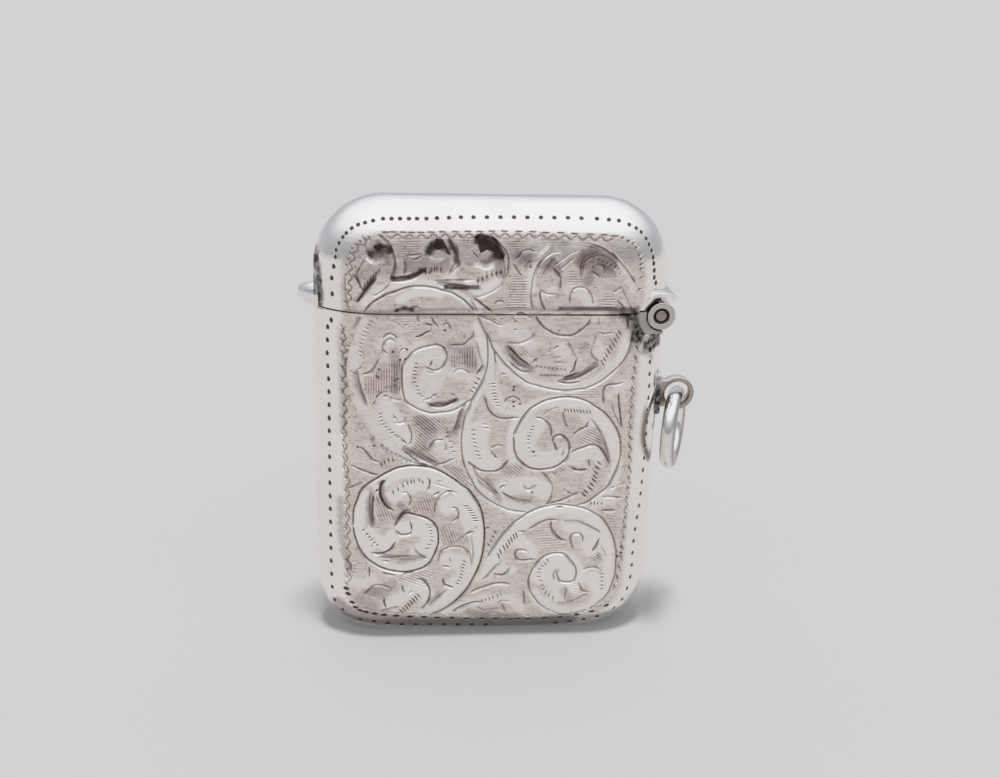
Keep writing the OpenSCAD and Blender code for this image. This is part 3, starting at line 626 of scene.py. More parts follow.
lastScroll = [vLine(2.5, .7, [487.5,557.5, 491,551, 496,543.5, 501,536.5, 507,530, 514,523, 522,517.5,
    527,514, 534,510.5, 541,508, 550,506, 558,504.8, 567,505.5, 575,506.5, 582,508, 590,511, 596,514.5,
    602,518, 606,523, 610,529.5, 613.5,537, 616,546, 617,554, 616.5,562, 616.5,569, 615,577, 612,585,
    609,592, 604,598, 597,604, 589,609.5]), vLine(2.6, .7, [589,609.5, 574,613.7, 560.4,614.8, 550,611,
    545,608.5, 539,604, 535,599, 531,593, 529,587, 528.5,580, 531,573, 534.5,566, 540,560, 546,556, 552,554,
    558,553.3, 564,554.5, 568,557.5, 572,562, 575.5,568, 576.5,573.5, 575,579, 573,581.5, 569,582.5,
    562,582, 558.5,579, 557,574, 560,570]), vLine(2.6, .9, [555,507, 564,507.5]), vLine(2.6, .6, [528,530,
    534,527, 540,523.5, 546,521, 554,520, 558,520]), vLine(3, .7, [551.5,521, 551,526, 552.5,531, 556.5,536,
    561.5,540, 566.5,541]), barsAlong([565,521, 577,521, 585,524, 592,527.5,
    599,531], 15, (.5, .85), 5.5, .4), vLine(2, .8, [517,531.8, 527,531.8]), vLine(2.4, .6, [574,549.5,
    571.5,544.5, 570.5,539, 572,535, 575,533.8, 580,534, 583,537.5, 582.5,542]), vLine(2.8, .9, [600,537.5,
    598.5,541.5, 596,546, 592,552.5]), gouge(4, .5, [600,545, 604,551.5, 607,558]),
    raysFrom((556, 576), [547.5,560, 545,564, 542.5,566.5, 540,569.5, 538.5,573, 538,577, 540,581,
    541.5,586, 543.5,589.5, 546,592.5, 549,595, 553,598], 6, .7), gouge(5, .6, [555,580, 553.5,575, 556,571,
    560,569.5]), vLine(2.4, .65, [581.5,570.5, 586,569, 594,567.5, 600,569.5]), bars([602.5,574,
    602.5,577.5, 602.5,581.5, 602.5,585.5, 602.5,589], (.95, .25), 6, .85), vLine(2.4, .7, [578.5,582,
    580,586, 582,590.5, 586,592, 590.5,592.5]), vLine(2.2, .45, [566,587, 566,594, 564,600]),
    vLine(2.2, .5, [557,602.5, 565,603, 573,601, 581,597, 588,593]), bars([498.5,556, 500.5,552, 504,548,
    507,546, 509,542.5, 511.5,540, 514,537, 516.5,535.5], (.35, .94), 7, .65), vLine(3, .8, [484,530,
    490.5,527]), bars([495,532.5, 493,537, 491,541, 488.5,545], (.6, .8), 5, .6), vLine(2.6, .7, [528,552,
    524,550.5, 518,550.5, 515,553.5, 516,557.5, 520,560.5, 527,560.5, 535,559]), vLine(2.2, .6, [482,581,
    487,576, 490.5,571.5, 496,566, 501,563]), vLine(2.8, .7, [493,573, 497,575, 502,575.5, 506,573,
    511,567])]
lowMiddleScroll = [vLine(3, .7, [469.5,593.5, 475,590.5, 481,588.5, 488,586, 495,584, 503,583.5, 511,585]),
    vLine(3, .9, [452,612, 461,607, 469,604, 476,602.5, 482,602]), bars([482,601, 485.5,600, 489.5,599,
    493,597.5, 497.5,596, 501,594.5], (.2, .98), 5, .85), vLine(2.2, .6, [477,606, 481,609.5, 488,610,
    494,609, 501,608]), vLine(2.4, .6, [496,604, 501,601.5, 507,601.5, 510.5,602.5]),
    vLine(2.6, .6, [502.5,603, 503,608, 506,612]), vLine(2.4, .7, [523,590, 524,597, 524.5,605.5]),
    vLine(3, .5, [484,613.5, 493,612.5, 503,614.5, 508,617])]
groundHatch = [hatch([392,237, 425,237, 424,252, 410,258, 396,262, 393,252], 0), hatch([396,262, 404,258,
    404,276, 397,279], 0), hatch([456,236, 477,236, 477,247, 472,251, 475,262, 470,268, 461,258], 0),
    hatch([497,237, 530,237, 530,247, 522,251, 514,259, 508,256, 504,248], 0), hatch([535,238, 570,240,
    572,246, 550,248], 0), hatch([508,262, 513,265, 519,275, 530,280, 531,309, 500,309, 503,296,
    507,285], 0), hatch([600,290, 612,293, 622,300, 616,308, 598,308], 0), hatch([563,272, 580,270, 588,284,
    565,288], 0), hatch([386,315, 412,315, 413,318, 418,325, 425,330, 415,334.5, 409,333, 404.5,327,
    396,321], 0), hatch([381,362, 400,358, 402,380, 404,395, 390,394, 376,398, 366,400, 362,380,
    372,374], 90), hatch([447,352, 474,345, 477,372, 460,369, 446,366], 90), hatch([407,414, 440,416,
    456,410, 446,433, 432,440, 428,448, 438,462, 420,458, 410,447, 414,432], 40), hatch([440,464, 462,465,
    480,495, 466,485], 40), hatch([375,492, 381,490, 386,506, 398,512, 394,520, 376,528], 70),
    hatch([412,500, 428,492, 440,492, 435,518, 408,512], 70), hatch([440,522, 470,535, 470,548,
    440,550], 70), hatch([372,570, 400,577, 432,566, 442,580, 430,590, 400,582], 20), hatch([575,438,
    588,424, 600,430, 606,445, 580,446], 25), hatch([500,470, 510,460, 528,468, 524,478, 506,480], 40),
    hatch([548,470, 568,462, 572,470, 560,478], 40), hatch([530,532, 550,521, 553,530, 572,548, 560,552,
    542,556], -5), hatch([590,556, 600,545, 606,562, 584,568], 40), hatch([521,362, 545,350, 553,345,
    530,347, 515,350], 40), hatch([575,345, 592,336, 592,350, 580,358], 40), hatch([556,392, 600,388,
    603,398, 590,402, 575,397, 560,396], 0), hatch([602,515, 618,513, 622,530, 616,540, 608,523], 10),
    hatch([567,583, 578,583, 586,594, 570,600], 10), hatch([346,405, 366,432, 346,430], 30)]
print("lower scrolls drawn")

# Border: a row of small wedge punches outside, a wriggle cut frame inside
wedgeRow = {"top": [335,257, 335.5,250, 338.5,243, 342.5,237, 346,233, 351.5,228, 358,224.5, 365,222.5,
    373,220.5, 383,218.5, 391.5,218.5, 400,218.5, 409,218.5, 417,218.5, 426.5,218.5, 437,218, 449,217.5,
    461,217, 473.5,217, 487,217, 500.5,217, 514,217, 527.5,217.2, 541,217.3, 554.5,217.4, 568,217.5,
    581.5,218, 597,218.5, 609,219.5, 619,220.5, 629.5,224.5, 636.5,228, 641.5,232, 646.5,238.5, 649.5,244.5,
    652,250.5], "right": [653.5,257.5, 654,263.5, 654.5,270.5, 654.5,277.5, 656,283],
    "rightLong": [(650.5, 350), (649, 392), (645, 450), (640, 500), (636, 524), (633, 548), (631.5, 570),
    (628, 586), (622.5, 599), (612, 610)], "left": [333.5,266.5, 331.5,278, 332,294, 331,320],
    "leftLong": [(327.5, 327), (327, 354.5), (328.5, 381), (329, 419), (329.5, 470), (330.5, 530),
    (331.5, 575), (334, 598.5), (344.5, 611.5)], "low": [(360, 620), (400, 624.5), (442.5, 624.6),
    (485, 624.8), (530, 624.6), (575, 621), (600, 616)]}


def evenSpots(path, gap):
    path = smoothPath(path, 1.0)
    return spotsAt(path, np.arange(0, runAlong(path)[-1], gap))


# A wedge is a short six-sided punch; its corners are shares of its length and width
wedgeCorners = [(0.5, 0.45), (0.5, -0.45), (0.05, -0.95), (-0.5, -0.55), (-0.5, 0.55), (0.05, 0.95)]


def wedges(places, aim, length, width, ink, depth=0.07, dull=0.5, slope=0.07):
    cuts = []
    for spot in photoToSheet(places):
        u, v, rho = beyondPanel(spot[0], spot[1])
        out = np.array([u, v]) / max(rho, tiny) if aim is None else np.array(aim, float)
        side = np.array([-out[1], out[0]])
        rim = np.array([spot + out * length * p + side * width * q for p, q in wedgeCorners])
        cuts.append(sheetPatch(rim, ink, depth, dull, slope))
    return cuts


wedgeBorder = [wedges(wedgeRow["top"], None, 0.4, 0.26, .95), wedges(wedgeRow["right"],
    (0, 1), 0.56, 0.25, .95), wedges(wedgeRow["left"], (0, 1), 0.56, 0.25, .95),
    wedges(evenSpots(wedgeRow["leftLong"], 13), (0, 1), 0.58, 0.26, .95),
    wedges(evenSpots(wedgeRow["rightLong"], 12), (0, 1), 0.55, 0.24, .85),
    wedges(evenSpots(wedgeRow["low"], 14), None, 0.75, 0.3, .95)]

wriggle = {"top": [385.5,232, 393.5,231.8, 403,232, 411.5,232.3, 421,232.3, 431,232, 442.5,231.7,
    455.5,231.6, 468,231.3, 480,231.5, 492,231, 504.5,231, 519,231.3, 533,231.5, 546,232.5, 561,232.6,
    575,233.5, 590.5,234, 604.5,234.7, 615,235.8], "leftCorner": [369,237, 364.5,238.5, 360,241, 355.5,244,
    351.5,248, 350,253, 348,259, 346.5,265, 346,275, 346,290, 345,302], "rightCorner": [623,237.3,
    629,240.5, 634,243, 637,247.5, 640,255, 641.5,259.5, 641.5,264.5, 641.5,269, 642,277.5, 640,289.5],
    "left": [341,326, 341,340, 341,352, 341.5,367, 341,378, 341,390, 342.5,405, 342,418, 342,434, 342.5,446,
    343,458, 343.5,468, 345.5,478, 345,491, 345,504, 345,516, 345.5,528, 345.5,539, 346,549, 346,560,
    346,569, 346.5,577, 346,584], "low": [346,588.5, 348,594, 352,602.5, 355.5,607.5, 360,610.5, 366,612,
    374.5,613.7, 384,615, 396,616, 410,616.8, 424,617.3, 437,618, 452,618.2, 467,618.8, 482,618.8,
    495.5,619, 511,619.5, 518,619, 528,619, 545,618.5, 560,617.5, 577,615, 591.5,611.5, 606.5,605.5],
    "right": [(639.5, 318), (637.5, 350), (633, 387), (630.5, 430), (630, 470), (627, 500), (624, 530),
    (620.5, 560), (617.5, 578), (612, 595)]}


def zigzag(spots, throw, ink, width, gap=0.2, steep=0.9, taper=0.4):
    path = photoToSheet(spots)
    side = sideways(path)
    swing = np.where(np.arange(len(path)) % 2 == 0, 1.0, -1.0)[:, None] * throw
    return cutAlong(smoothPath(path + side * swing, gap), width, width, steep, ink, 0.0, taper)


wriggleFrame = [bars(wriggle["top"], (1, .04), 9, .75, 1.9),
    zigzag(evenSpots(np.reshape(wriggle["top"], (-1, 2)) + (0, 4.2), 6), 0.2, .4, 0.15),
    bars(wriggle["leftCorner"], (.7, .7), 4.5, .8, 2.4),
    zigzag(evenSpots(np.reshape(wriggle["leftCorner"], (-1, 2)) + (3.5, 2), 5), 0.2, .55, 0.15),
    bars(wriggle["rightCorner"], (.9, -.3), 6, .8, 3.0), bars(wriggle["left"], (.45, .9), 6, .8, 2.9),
    zigzag(evenSpots(np.reshape(wriggle["left"], (-1, 2)) + (2.6, 0), 6), 0.2, .55, 0.15),
    wedges(wriggle["low"], (1, 0), 0.7, 0.28, .95),
    zigzag(evenSpots(np.reshape(wriggle["low"][6:], (-1, 2)) - (0, 3.4), 6), 0.16, .4, 0.13),
    bars(evenSpots(wriggle["right"], 10), (.5, .86), 4.5, .65, 2.2),
    zigzag(evenSpots(wriggle["right"], 5.5), 0.2, .45, 0.14), dots([621,547, 617.5,556.5, 621.5,553], 1.0)]


def flatCuts(groups):
    cuts = []
    for item in groups:
        cuts += flatCuts(item) if isinstance(item, list) else [item]
    return cuts


engraving = flatCuts([lidLeftLeaf, lidSecondLeaf, lidThirdLeaf, lidArch, lidRightScroll, leftScrollOuter,
    leftScrollLeaves, middleStalk, rightScroll, middleLeaf, rightLowScroll, lowMiddleLeaf, leftLowScroll,
    leftLowLeaves, leftMidLeaves, lastScroll, lowMiddleScroll, groundHatch, wedgeBorder, wriggleFrame])
print("cuts drawn", len(engraving))


# Tone of the panel: rubbed leaves and stems shine, partly as painted highlight, and dark strokes paint shade
# and dark reflections in the hollows, along the seam and on the base roll, with some real tarnish
def brush(width, amount, spots, gap=0.8):
    path = smoothPath(photoToSheet(spots), gap)
    return {"path": path, "half": 0.5 * width * perPixel, "amount": amount}


def brushes(strokes):
    return [brush(*stroke) for stroke in strokes]


def brushed(flat, strokes, reach=1.3, rim=1.15, fade=0.32):
    tone = np.zeros(len(flat))
    for stroke in strokes:
        path, half = stroke["path"], stroke["half"]
        low, high = path.min(0) - reach * half, path.max(0) + reach * half
        near = np.flatnonzero(np.all((flat > low) & (flat < high), axis=1))
        if len(near):
            edge = np.clip((rim - pathDistance(flat[near], path) / half) / fade, 0, 1)
            tone[near] = np.maximum(tone[near], stroke["amount"] * edge * edge * (3 - 2 * edge))
    return tone


# Shine strokes lower the patina; they are stronger low on the body than in its middle, which paints the panel
# lighter towards the base
shineLow = brushes([(13, .95, [360,540, 358,518, 366,498, 386,480, 412,472, 440,477, 462,494, 475,520,
    476,548, 468,574, 450,596, 425,611]), (12, .9, [362,545, 374,560, 394,569, 414,567, 430,557]),
    (15, .9, [392,497, 406,490, 424,484, 440,492]), (20, .9, [448,506, 458,503, 468,514, 474,528]),
    (20, .95, [404,530, 424,527, 431,544, 420,552]), (16, .95, [370,534, 382,545, 396,534]),
    (20, .9, [449,560, 461,563, 467,576, 453,586]), (18, .95, [392,605, 405,596, 420,588, 428,600]),
    (12, .9, [446,612, 466,604, 486,600, 508,598, 520,608]), (14, .95, [486,574, 498,549, 514,531, 536,515,
    562,509, 586,513, 602,530, 608,558, 604,588, 590,606, 568,612, 548,607, 535,594]), (28, .95, [543,574,
    560,562, 574,577, 558,591]), (20, .9, [592,548, 587,532, 570,524]), (17, .95, [592,578, 600,588]),
    (14, .9, [506,540, 520,541, 531,553]), (10, .9, [480,578, 496,568, 512,570]), (11, .8, [350,580,
    362,585, 372,578]), (9, .8, [595,504, 612,500])])
shineMiddle = brushes([(13, .6, [354,350, 355,378, 363,404, 378,430, 398,452, 424,464]), (13, .75, [408,362,
    404,386, 416,405, 440,412, 463,406]), (24, .65, [420,352, 438,362, 430,384, 420,396]),
    (14, .6, [455,374, 470,372, 476,384]), (11, .85, [478,326, 485,354, 480,385, 468,412, 464,440,
    470,462]), (12, .8, [492,348, 506,368, 528,382, 560,388, 592,383, 615,364, 628,340]),
    (13, .85, [514,462, 513,440, 519,420, 536,405, 564,401, 594,412, 612,436, 616,464, 609,490, 596,504]),
    (20, .8, [537,424, 524,446, 540,461, 564,456]), (22, .75, [386,410, 394,424, 404,440]),
    (22, .8, [480,430, 476,450, 490,462]), (14, .75, [492,366, 492,392, 506,409, 520,410]),
    (13, .75, [574,460, 590,452, 602,462]), (13, .7, [470,470, 484,492, 510,508, 530,510]),
    (20, .8, [505,488, 526,484, 545,490]), (16, .7, [430,440, 446,448, 455,455]), (13, .7, [566,408,
    584,410, 590,424]), (14, .55, [560,350, 574,360, 566,372]), (12, .6, [596,345, 604,360]),
    (14, .6, [505,330, 520,332, 530,345]), (9, .7, [610,395, 622,385, 632,384]), (12, .5, [362,320,
    360,338]), (16, .5, [385,345, 398,345, 404,355])])
# On the lid, the short narrow strokes at full amount are painted highlights on the leaf facets
shineLid = brushes([(9, .9, [365,302, 382,289, 402,284, 424,283, 446,289, 466,300, 478,310]),
    (12, .95, [470,284, 482,292, 498,282]), (10, .8, [440,284, 452,276, 452,264]), (9, .9, [400,300,
    420,291, 440,294]), (8, .85, [532,290, 532,272, 542,260, 558,254]), (9, .6, [556,256, 568,250, 590,245,
    612,253, 628,272, 632,290]), (14, .7, [571,290, 582,292, 590,302]), (8, .8, [545,295, 553,290]),
    (7, .95, [537,253, 547,245]), (7, .9, [400,262, 404,276]), (5, 1.0, [366,258, 374,263, 383,261]),
    (5, 1.0, [423,250, 429,259, 440,259]), (5, 1.0, [477,265, 486,270, 494,264]), (3.5, 1.0, [485,236,
    500,249, 506,258]), (4, .9, [600,266, 606,276, 614,276])])
# Painted shade: dark reflections of the lid's bright-cut facets, shadow along the seam and on the base roll,
# and shade beside the stems, with some real tarnish in the ground
paintedShadeAndTarnish = brushes([(9, .95, [371,254, 378,247, 388,250]), (7, .6, [376,257, 384,256]), (9, .95, [429,251,
    436,243, 445,248]), (6, .85, [450,242, 456,250, 457,262]), (12, 1.0, [480,240, 492,243, 499,255]),
    (7, .75, [486,262, 494,258]), (5, 1.0, [394,279, 410,277, 424,270]), (5, .9, [446,287, 464,288,
    478,287]), (4.5, .95, [357,300, 366,289, 374,279]), (12, .4, [400,268, 424,265, 446,266]),
    (14, .3, [360,275, 376,270, 388,268]), (16, .62, [584,262, 594,253, 610,262]), (10, .45, [590,270,
    588,282]), (9, .5, [542,266, 552,262, 558,272]), (9, .5, [519,256, 528,262]), (8, .4, [498,262,
    500,275]), (8, .55, [509,349, 520,362, 530,369]), (6, .6, [566,378, 580,375, 596,364]),
    (4.5, .8, [430,405, 444,404, 456,400]), (10, .35, [395,390, 398,372, 394,352]), (12, .3, [452,345,
    468,352, 472,368]), (12, .3, [420,420, 432,432, 428,446]), (6, .5, [405,448, 420,457, 436,463]),
    (6, .45, [356,372, 358,386, 364,402]), (7, .4, [462,412, 458,428, 450,434]), (7, .35, [600,440, 606,452,
    608,462]), (6, .4, [486,478, 494,492, 500,500]), (6, .5, [372,492, 370,508, 373,524]),
    (5, .55, [381,482, 382,496, 390,505]), (5, .5, [384,555, 402,558, 424,557]), (3.5, .5, [345,310.5,
    420,310, 500,309.5, 560,309.3]), (4.5, 1.0, [396,310, 404,308.5, 413,310]), (4.5, .85, [560,309.3,
    600,309, 638,308.5]), (4, .4, [362,313, 400,314, 440,314, 500,314]), (22, .55, [340,605, 350,613,
    372,618.5, 402,621, 442,622, 485,622.5, 530,622, 566,619.5]), (12, .3, [366,594, 382,590, 392,584]),
    (14, .35, [360,600, 372,606]), (10, .45, [470,612, 492,617, 516,616]), (8, .4, [430,602, 438,596]),
    (7, .4, [400,505, 408,512, 396,518]), (8, .3, [564,590, 570,600]), (8, .35, [340,500, 342,540,
    348,565]), (7, .3, [341,330, 342,380, 343,430])])


def ringWalk(faces):
    directed = set()
    for face in faces:
        directed.update(((face[0], face[1]), (face[1], face[2]), (face[2], face[0])))
    follow = {p: q for p, q in directed if (q, p) not in directed}
    start = next(iter(follow))
    ring, here = [start], follow[start]
    while here != start:
        ring.append(here)
        here = follow[here]
    return ring


# Spacing of the shells' mesh points, finer outside than inside, in millimetres
shellMesh = {"flatGap": 0.27, "rollGap": 0.5, "innerFlat": 2.0, "innerRoll": 1.2, "rim": 0.22,
             "rowShare": 0.866, "merge": 1e-5}


def triangleSheet(loop, lines, spots):
    verts, edges = [tuple(p) for p in loop], [(i, (i + 1) % len(loop)) for i in range(len(loop))]
    for line, closed in lines:
        first, count = len(verts), len(line)
        verts.extend(tuple(p) for p in line)
        edges.extend((first + i, first + i + 1) for i in range(count - 1))
        if closed:
            edges.append((first + count - 1, first))
    verts.extend(tuple(p) for p in spots)
    out = delaunay_2d_cdt([Vector(p) for p in verts], edges, [], 0, shellMesh["merge"])
    flat = np.array([tuple(p) for p in out[0]])
    for level in (sheet["mouth"], sheet["lidMouth"]):
        flat[np.abs(flat[:, 1] - level) < same["spot"], 1] = level
    tris = np.array([f for f in out[2] if len(f) == 3])
    tris = tris[insideLoop(flat[tris].mean(1), loop)]
    used = np.unique(tris)
    renumber = np.full(len(flat), -1)
    renumber[used] = np.arange(len(used))
    return flat[used], renumber[tris]


def fillSpots(loop, flatGap, rollGap):
    spots = []
    for gap, roll in ((flatGap, False), (rollGap, True)):
        a = np.arange(-sheetEdge, sheetEdge, gap)
        b = np.arange(loop[:, 1].min(), loop[:, 1].max(), gap * shellMesh["rowShare"])
        grid = np.stack(np.meshgrid(a, b), -1)
        grid[1::2, :, 0] += gap / 2
        grid = grid.reshape(-1, 2)
        rho = beyondPanel(grid[:, 0], grid[:, 1])[2]
        spots.append(grid[(rho > panelR) == roll])
    spots = np.concatenate(spots)
    spots = spots[insideLoop(spots, loop)]
    return spots[loopDistance(spots, loop) > shellMesh["rim"]]


def atLevel(flat, level):
    return np.abs(flat[..., 1] - level) < same["level"]


def fromMouth(ring, flat, mouth):
    corner = min((i for i in ring if atLevel(flat[i], mouth)), key=lambda i: flat[i, 0])
    at = ring.index(corner)
    return ring[at:] + ring[:at]


# Grime along the seam, thicker at both ends, and the panel's grey between the shining strokes
seamForm = {"at": (-19, -14, -12, 4, 6, 14), "amount": (0.9, 0.75, 0.55, 0.55, 0.8, 1.0), "ripple": 0.12,
            "waves": (2.3, 0.71), "shift": 1, "offset": 0.09, "left": -16.8, "right": 13.6, "gap": 0.3}
# The patina thins towards the base, so the panel is painted lighter lower down
patinaForm = {"height": (4, 36.1, 36.3, 45), "amount": (0.8, 0.95, 1.0, 1.0), "inset": 2.7, "fade": 0.25}


def seamGrime(a):
    short, long = seamForm["waves"]
    ripple = seamForm["ripple"] * np.sin(short * a) * np.sin(long * a + seamForm["shift"])
    return np.interp(a, seamForm["at"], seamForm["amount"]) + ripple


def panelPatina(flat):
    place = sheetToSpace(flat[:, 0], flat[:, 1])[0]
    inset = cornerR - beyondPanel(place[:, 0], place[:, 2])[2]
    height = np.interp(flat[:, 1], patinaForm["height"], patinaForm["amount"])
    rubbedAndPaintedHighlight = brushed(flat, shineLow + shineMiddle + shineLid)
    return np.clip((inset - patinaForm["inset"]) / patinaForm["fade"], 0, 1) * height * (1 - rubbedAndPaintedHighlight)


def halfShell(loop, innerLoop, mouth, cuts, lines):
    beside = mouth + (seamForm["offset"] if mouth == sheet["lidMouth"] else -seamForm["offset"])
    grimeLine = spacedLine((seamForm["left"], beside), (seamForm["right"], beside), seamForm["gap"])
    spots = fillSpots(loop, shellMesh["flatGap"], shellMesh["rollGap"])
    flat, tris = triangleSheet(loop, lines + [(grimeLine, False)], spots)
    depth, ink, dull = cutDepth(flat, cuts)
    atMouth = atLevel(flat, mouth)
    ink[atMouth] = np.maximum(ink[atMouth], seamGrime(flat[atMouth, 0]))
    place, facing = sheetToSpace(flat[:, 0], flat[:, 1])
    outer = place - facing * depth[:, None]
    spotsIn = fillSpots(innerLoop, shellMesh["innerFlat"], shellMesh["innerRoll"])
    flatIn, trisIn = triangleSheet(innerLoop, [], spotsIn)
    placeIn, facingIn = sheetToSpace(flatIn[:, 0], flatIn[:, 1])
    inner = placeIn - facingIn * sheet["wall"]
    return {"flat": flat, "tris": tris, "depth": depth, "outer": outer, "facing": facing, "mouth": mouth,
            "flatIn": flatIn, "trisIn": trisIn, "inner": inner, "facingIn": facingIn,
            "marks": {"cut": ink, "dull": dull, "patina": panelPatina(flat),
                      "shade": brushed(flat, paintedShadeAndTarnish)}}


def closeShell(half, bed):
    flat, outer, count = half["flat"], half["outer"], len(half["flat"])
    verts = [tuple(p) for p in outer] + [tuple(p) for p in half["inner"]]
    faces = [tuple(t) for t in half["tris"]]
    faces += [tuple(int(i) + count for i in t[::-1]) for t in half["trisIn"]]
    smooth = len(faces)
    ring = fromMouth(ringWalk(half["tris"]), flat, half["mouth"])
    ringIn = [i + count for i in fromMouth(ringWalk(half["trisIn"]), half["flatIn"], half["mouth"])]
    onMouth = atLevel(np.concatenate([flat, half["flatIn"]]), half["mouth"])
    allPlace = np.array(verts)
    onSplit = np.abs(allPlace[:, 1]) <= same["plane"]

    def bodyParts(loop, level):
        low = [n for n, i in enumerate(loop) if abs(allPlace[i, 2] - level) < same["plane"]]
        side = next(n for n in range(low[-1] + 1, len(loop)) if not onSplit[loop[n]]) - 1
        top = next(n for n in range(side + 1, len(loop)) if onMouth[loop[n]])
        base, right = loop[low[0]:low[-1] + 1], loop[low[-1]:side + 1]
        return loop[:low[0] + 1], base, right, loop[side:top + 1], loop[top:] + loop[:1]

    def lidParts(loop):
        top = [n for n, i in enumerate(loop) if onMouth[i]]
        side = next(n for n in range(top[-1] + 1, len(loop)) if onSplit[loop[n]])
        return loop[:top[-1] + 1], loop[top[-1]:side + 1], loop[side:] + loop[:1]

    if bed:
        leftOut, baseOut, rightOut, notchOut, mouthOut = bodyParts(ring, 0.0)
        leftIn, baseIn, rightIn, notchIn, mouthIn = bodyParts(ringIn, sheet["floor"])
        first = len(verts)
        wide, back, tall = bed["halfWidth"], -bed["halfDepth"], bed["height"]
        verts += [(-wide, 0, 0), (-wide, 0, tall), (wide, 0, tall), (wide, 0, 0)]
        verts += [(wide, back, 0), (wide, back, tall), (-wide, back, tall), (-wide, back, 0)]
        a, b, c, d, e, f, g, h = range(first, first + 8)
        faces.append(tuple((leftOut + [a, b, c, d] + rightOut + rightIn[::-1] + leftIn[::-1])[::-1]))
        faces.append(tuple(baseOut[::-1] + [a, h, e, d]))
        faces.append(tuple(baseIn))
        faces += [(h, a, b, g), (e, h, g, f), (d, e, f, c), (g, b, c, f)]
    else:
        mouthOut, notchOut, rimOut = lidParts(ring)
        mouthIn, notchIn, rimIn = lidParts(ringIn)
        faces.append(tuple(rimOut[::-1] + rimIn))
    faces.append(tuple(mouthOut[::-1] + mouthIn))
    for n in range(len(notchOut) - 1):
        faces.append((notchOut[n + 1], notchOut[n], notchIn[n], notchIn[n + 1]))
    return verts, [tuple(int(i) for i in f) for f in faces], smooth


def readAll(items, label, kind, width=1):
    values = np.zeros(len(items) * width, kind)
    items.foreach_get(label, values)
    return values


def shellObject(name, half, bed, mirrored):
    verts, faces, smooth = closeShell(half, bed)
    outside, inside = len(half["flat"]), len(half["flatIn"])
    place = np.array(verts) * mm
    place[:, 2] = np.maximum(place[:, 2], 0)
    facing = np.zeros((len(verts), 3))
    facing[:outside] = half["facing"]
    facing[outside:outside + inside] = -half["facingIn"]
    if mirrored:
        place[:, 1] *= -1
        facing[:, 1] *= -1
        faces = [f[::-1] for f in faces]
    mesh = bpy.data.meshes.new(name)
    mesh.from_pydata(place.tolist(), [], faces)
    mesh.update()
    flatNormals = readAll(mesh.polygons, "normal", float, 3).reshape(-1, 3)
    starts, sizes = readAll(mesh.polygons, "loop_start", int), readAll(mesh.polygons, "loop_total", int)
    corner = readAll(mesh.loops, "vertex_index", int)
    owner = np.repeat(np.arange(len(sizes)), sizes)
    depth = np.zeros(len(verts))
    depth[:outside] = half["depth"]
    deepest = np.maximum.reduceat(depth[corner], starts)
    carved = (deepest > same["spot"]) | (np.arange(len(sizes)) >= smooth)
    normals = np.where(carved[owner][:, None], flatNormals[owner], facing[corner])
    mesh.polygons.foreach_set("use_smooth", np.ones(len(sizes), bool))
    closing = {key for poly in mesh.polygons[smooth:] for key in poly.edge_keys}
    for edge in mesh.edges:
        edge.use_edge_sharp = edge.key in closing
    mesh.normals_split_custom_set(normals.tolist())
    for label, values in half["marks"].items():
        filled = np.zeros(len(verts))
        filled[:outside] = values
        mesh.attributes.new(label, "FLOAT", "POINT").data.foreach_set("value", filled)
    shell = bpy.data.objects.new(name, mesh)
    scene.collection.objects.link(shell)
    return shell


strikerBed = {"halfWidth": 11.0, "halfDepth": 1.6, "height": 0.5}
bodyOutline, lidOutline = bodyLoop(0.0, 0.0), lidLoop()
bodyInner = bodyLoop(sheet["floor"], sheet["wall"])
bodyCuts = cutsInside(engraving, bodyOutline, sheet["mouth"])
lidCuts = cutsInside(engraving, lidOutline, sheet["lidMouth"])
bodyHalf = halfShell(bodyOutline, bodyInner, sheet["mouth"], *bodyCuts)
lidHalf = halfShell(lidOutline, lidOutline, sheet["lidMouth"], *lidCuts)
bodyFront = shellObject("bodyFront", bodyHalf, strikerBed, False)
bodyBack = shellObject("bodyBack", bodyHalf, strikerBed, True)
lidFront = shellObject("lidFront", lidHalf, None, False)
lidBack = shellObject("lidBack", lidHalf, None, True)
print("shells struck", len(bodyFront.data.polygons), len(lidFront.data.polygons))


# Fittings: each begins from an outline or a plain solid and is worked on
smoothAngle = 40


def onlyPick(piece):
    for other in bpy.context.selected_objects:
        other.select_set(False)
    piece.select_set(True)
    bpy.context.view_layer.objects.active = piece


def pieceFrom(name, verts, faces):
    mesh = bpy.data.meshes.new(name)
    mesh.from_pydata([tuple(c * mm for c in v) for v in verts], [], faces)
    piece = bpy.data.objects.new(name, mesh)
    scene.collection.objects.link(piece)
    onlyPick(piece)
    return piece


def workAll(action, **values):
    bpy.ops.object.mode_set(mode="EDIT")
    bpy.ops.mesh.select_all(action="SELECT")
    action(**values)
    bpy.ops.object.mode_set(mode="OBJECT")


def settlePiece(piece, name):
    piece.name = name
    onlyPick(piece)
    bpy.ops.object.transform_apply(location=True, rotation=True, scale=True)
    workAll(bpy.ops.mesh.normals_make_consistent, inside=False)


def bevelOn(piece, width, steps, angle):
    ease = piece.modifiers.new("ease", "BEVEL")
    ease.width, ease.segments = width * mm, steps
    ease.limit_method, ease.angle_limit = "ANGLE", math.radians(angle)
    return ease


def easeEdges(piece, width, steps, angle, smooth=smoothAngle):
    onlyPick(piece)
    bevelOn(piece, width, steps, angle).use_clamp_overlap = True
    bpy.ops.object.modifier_apply(modifier="ease")
    bpy.ops.object.shade_smooth_by_angle(angle=math.radians(smooth))


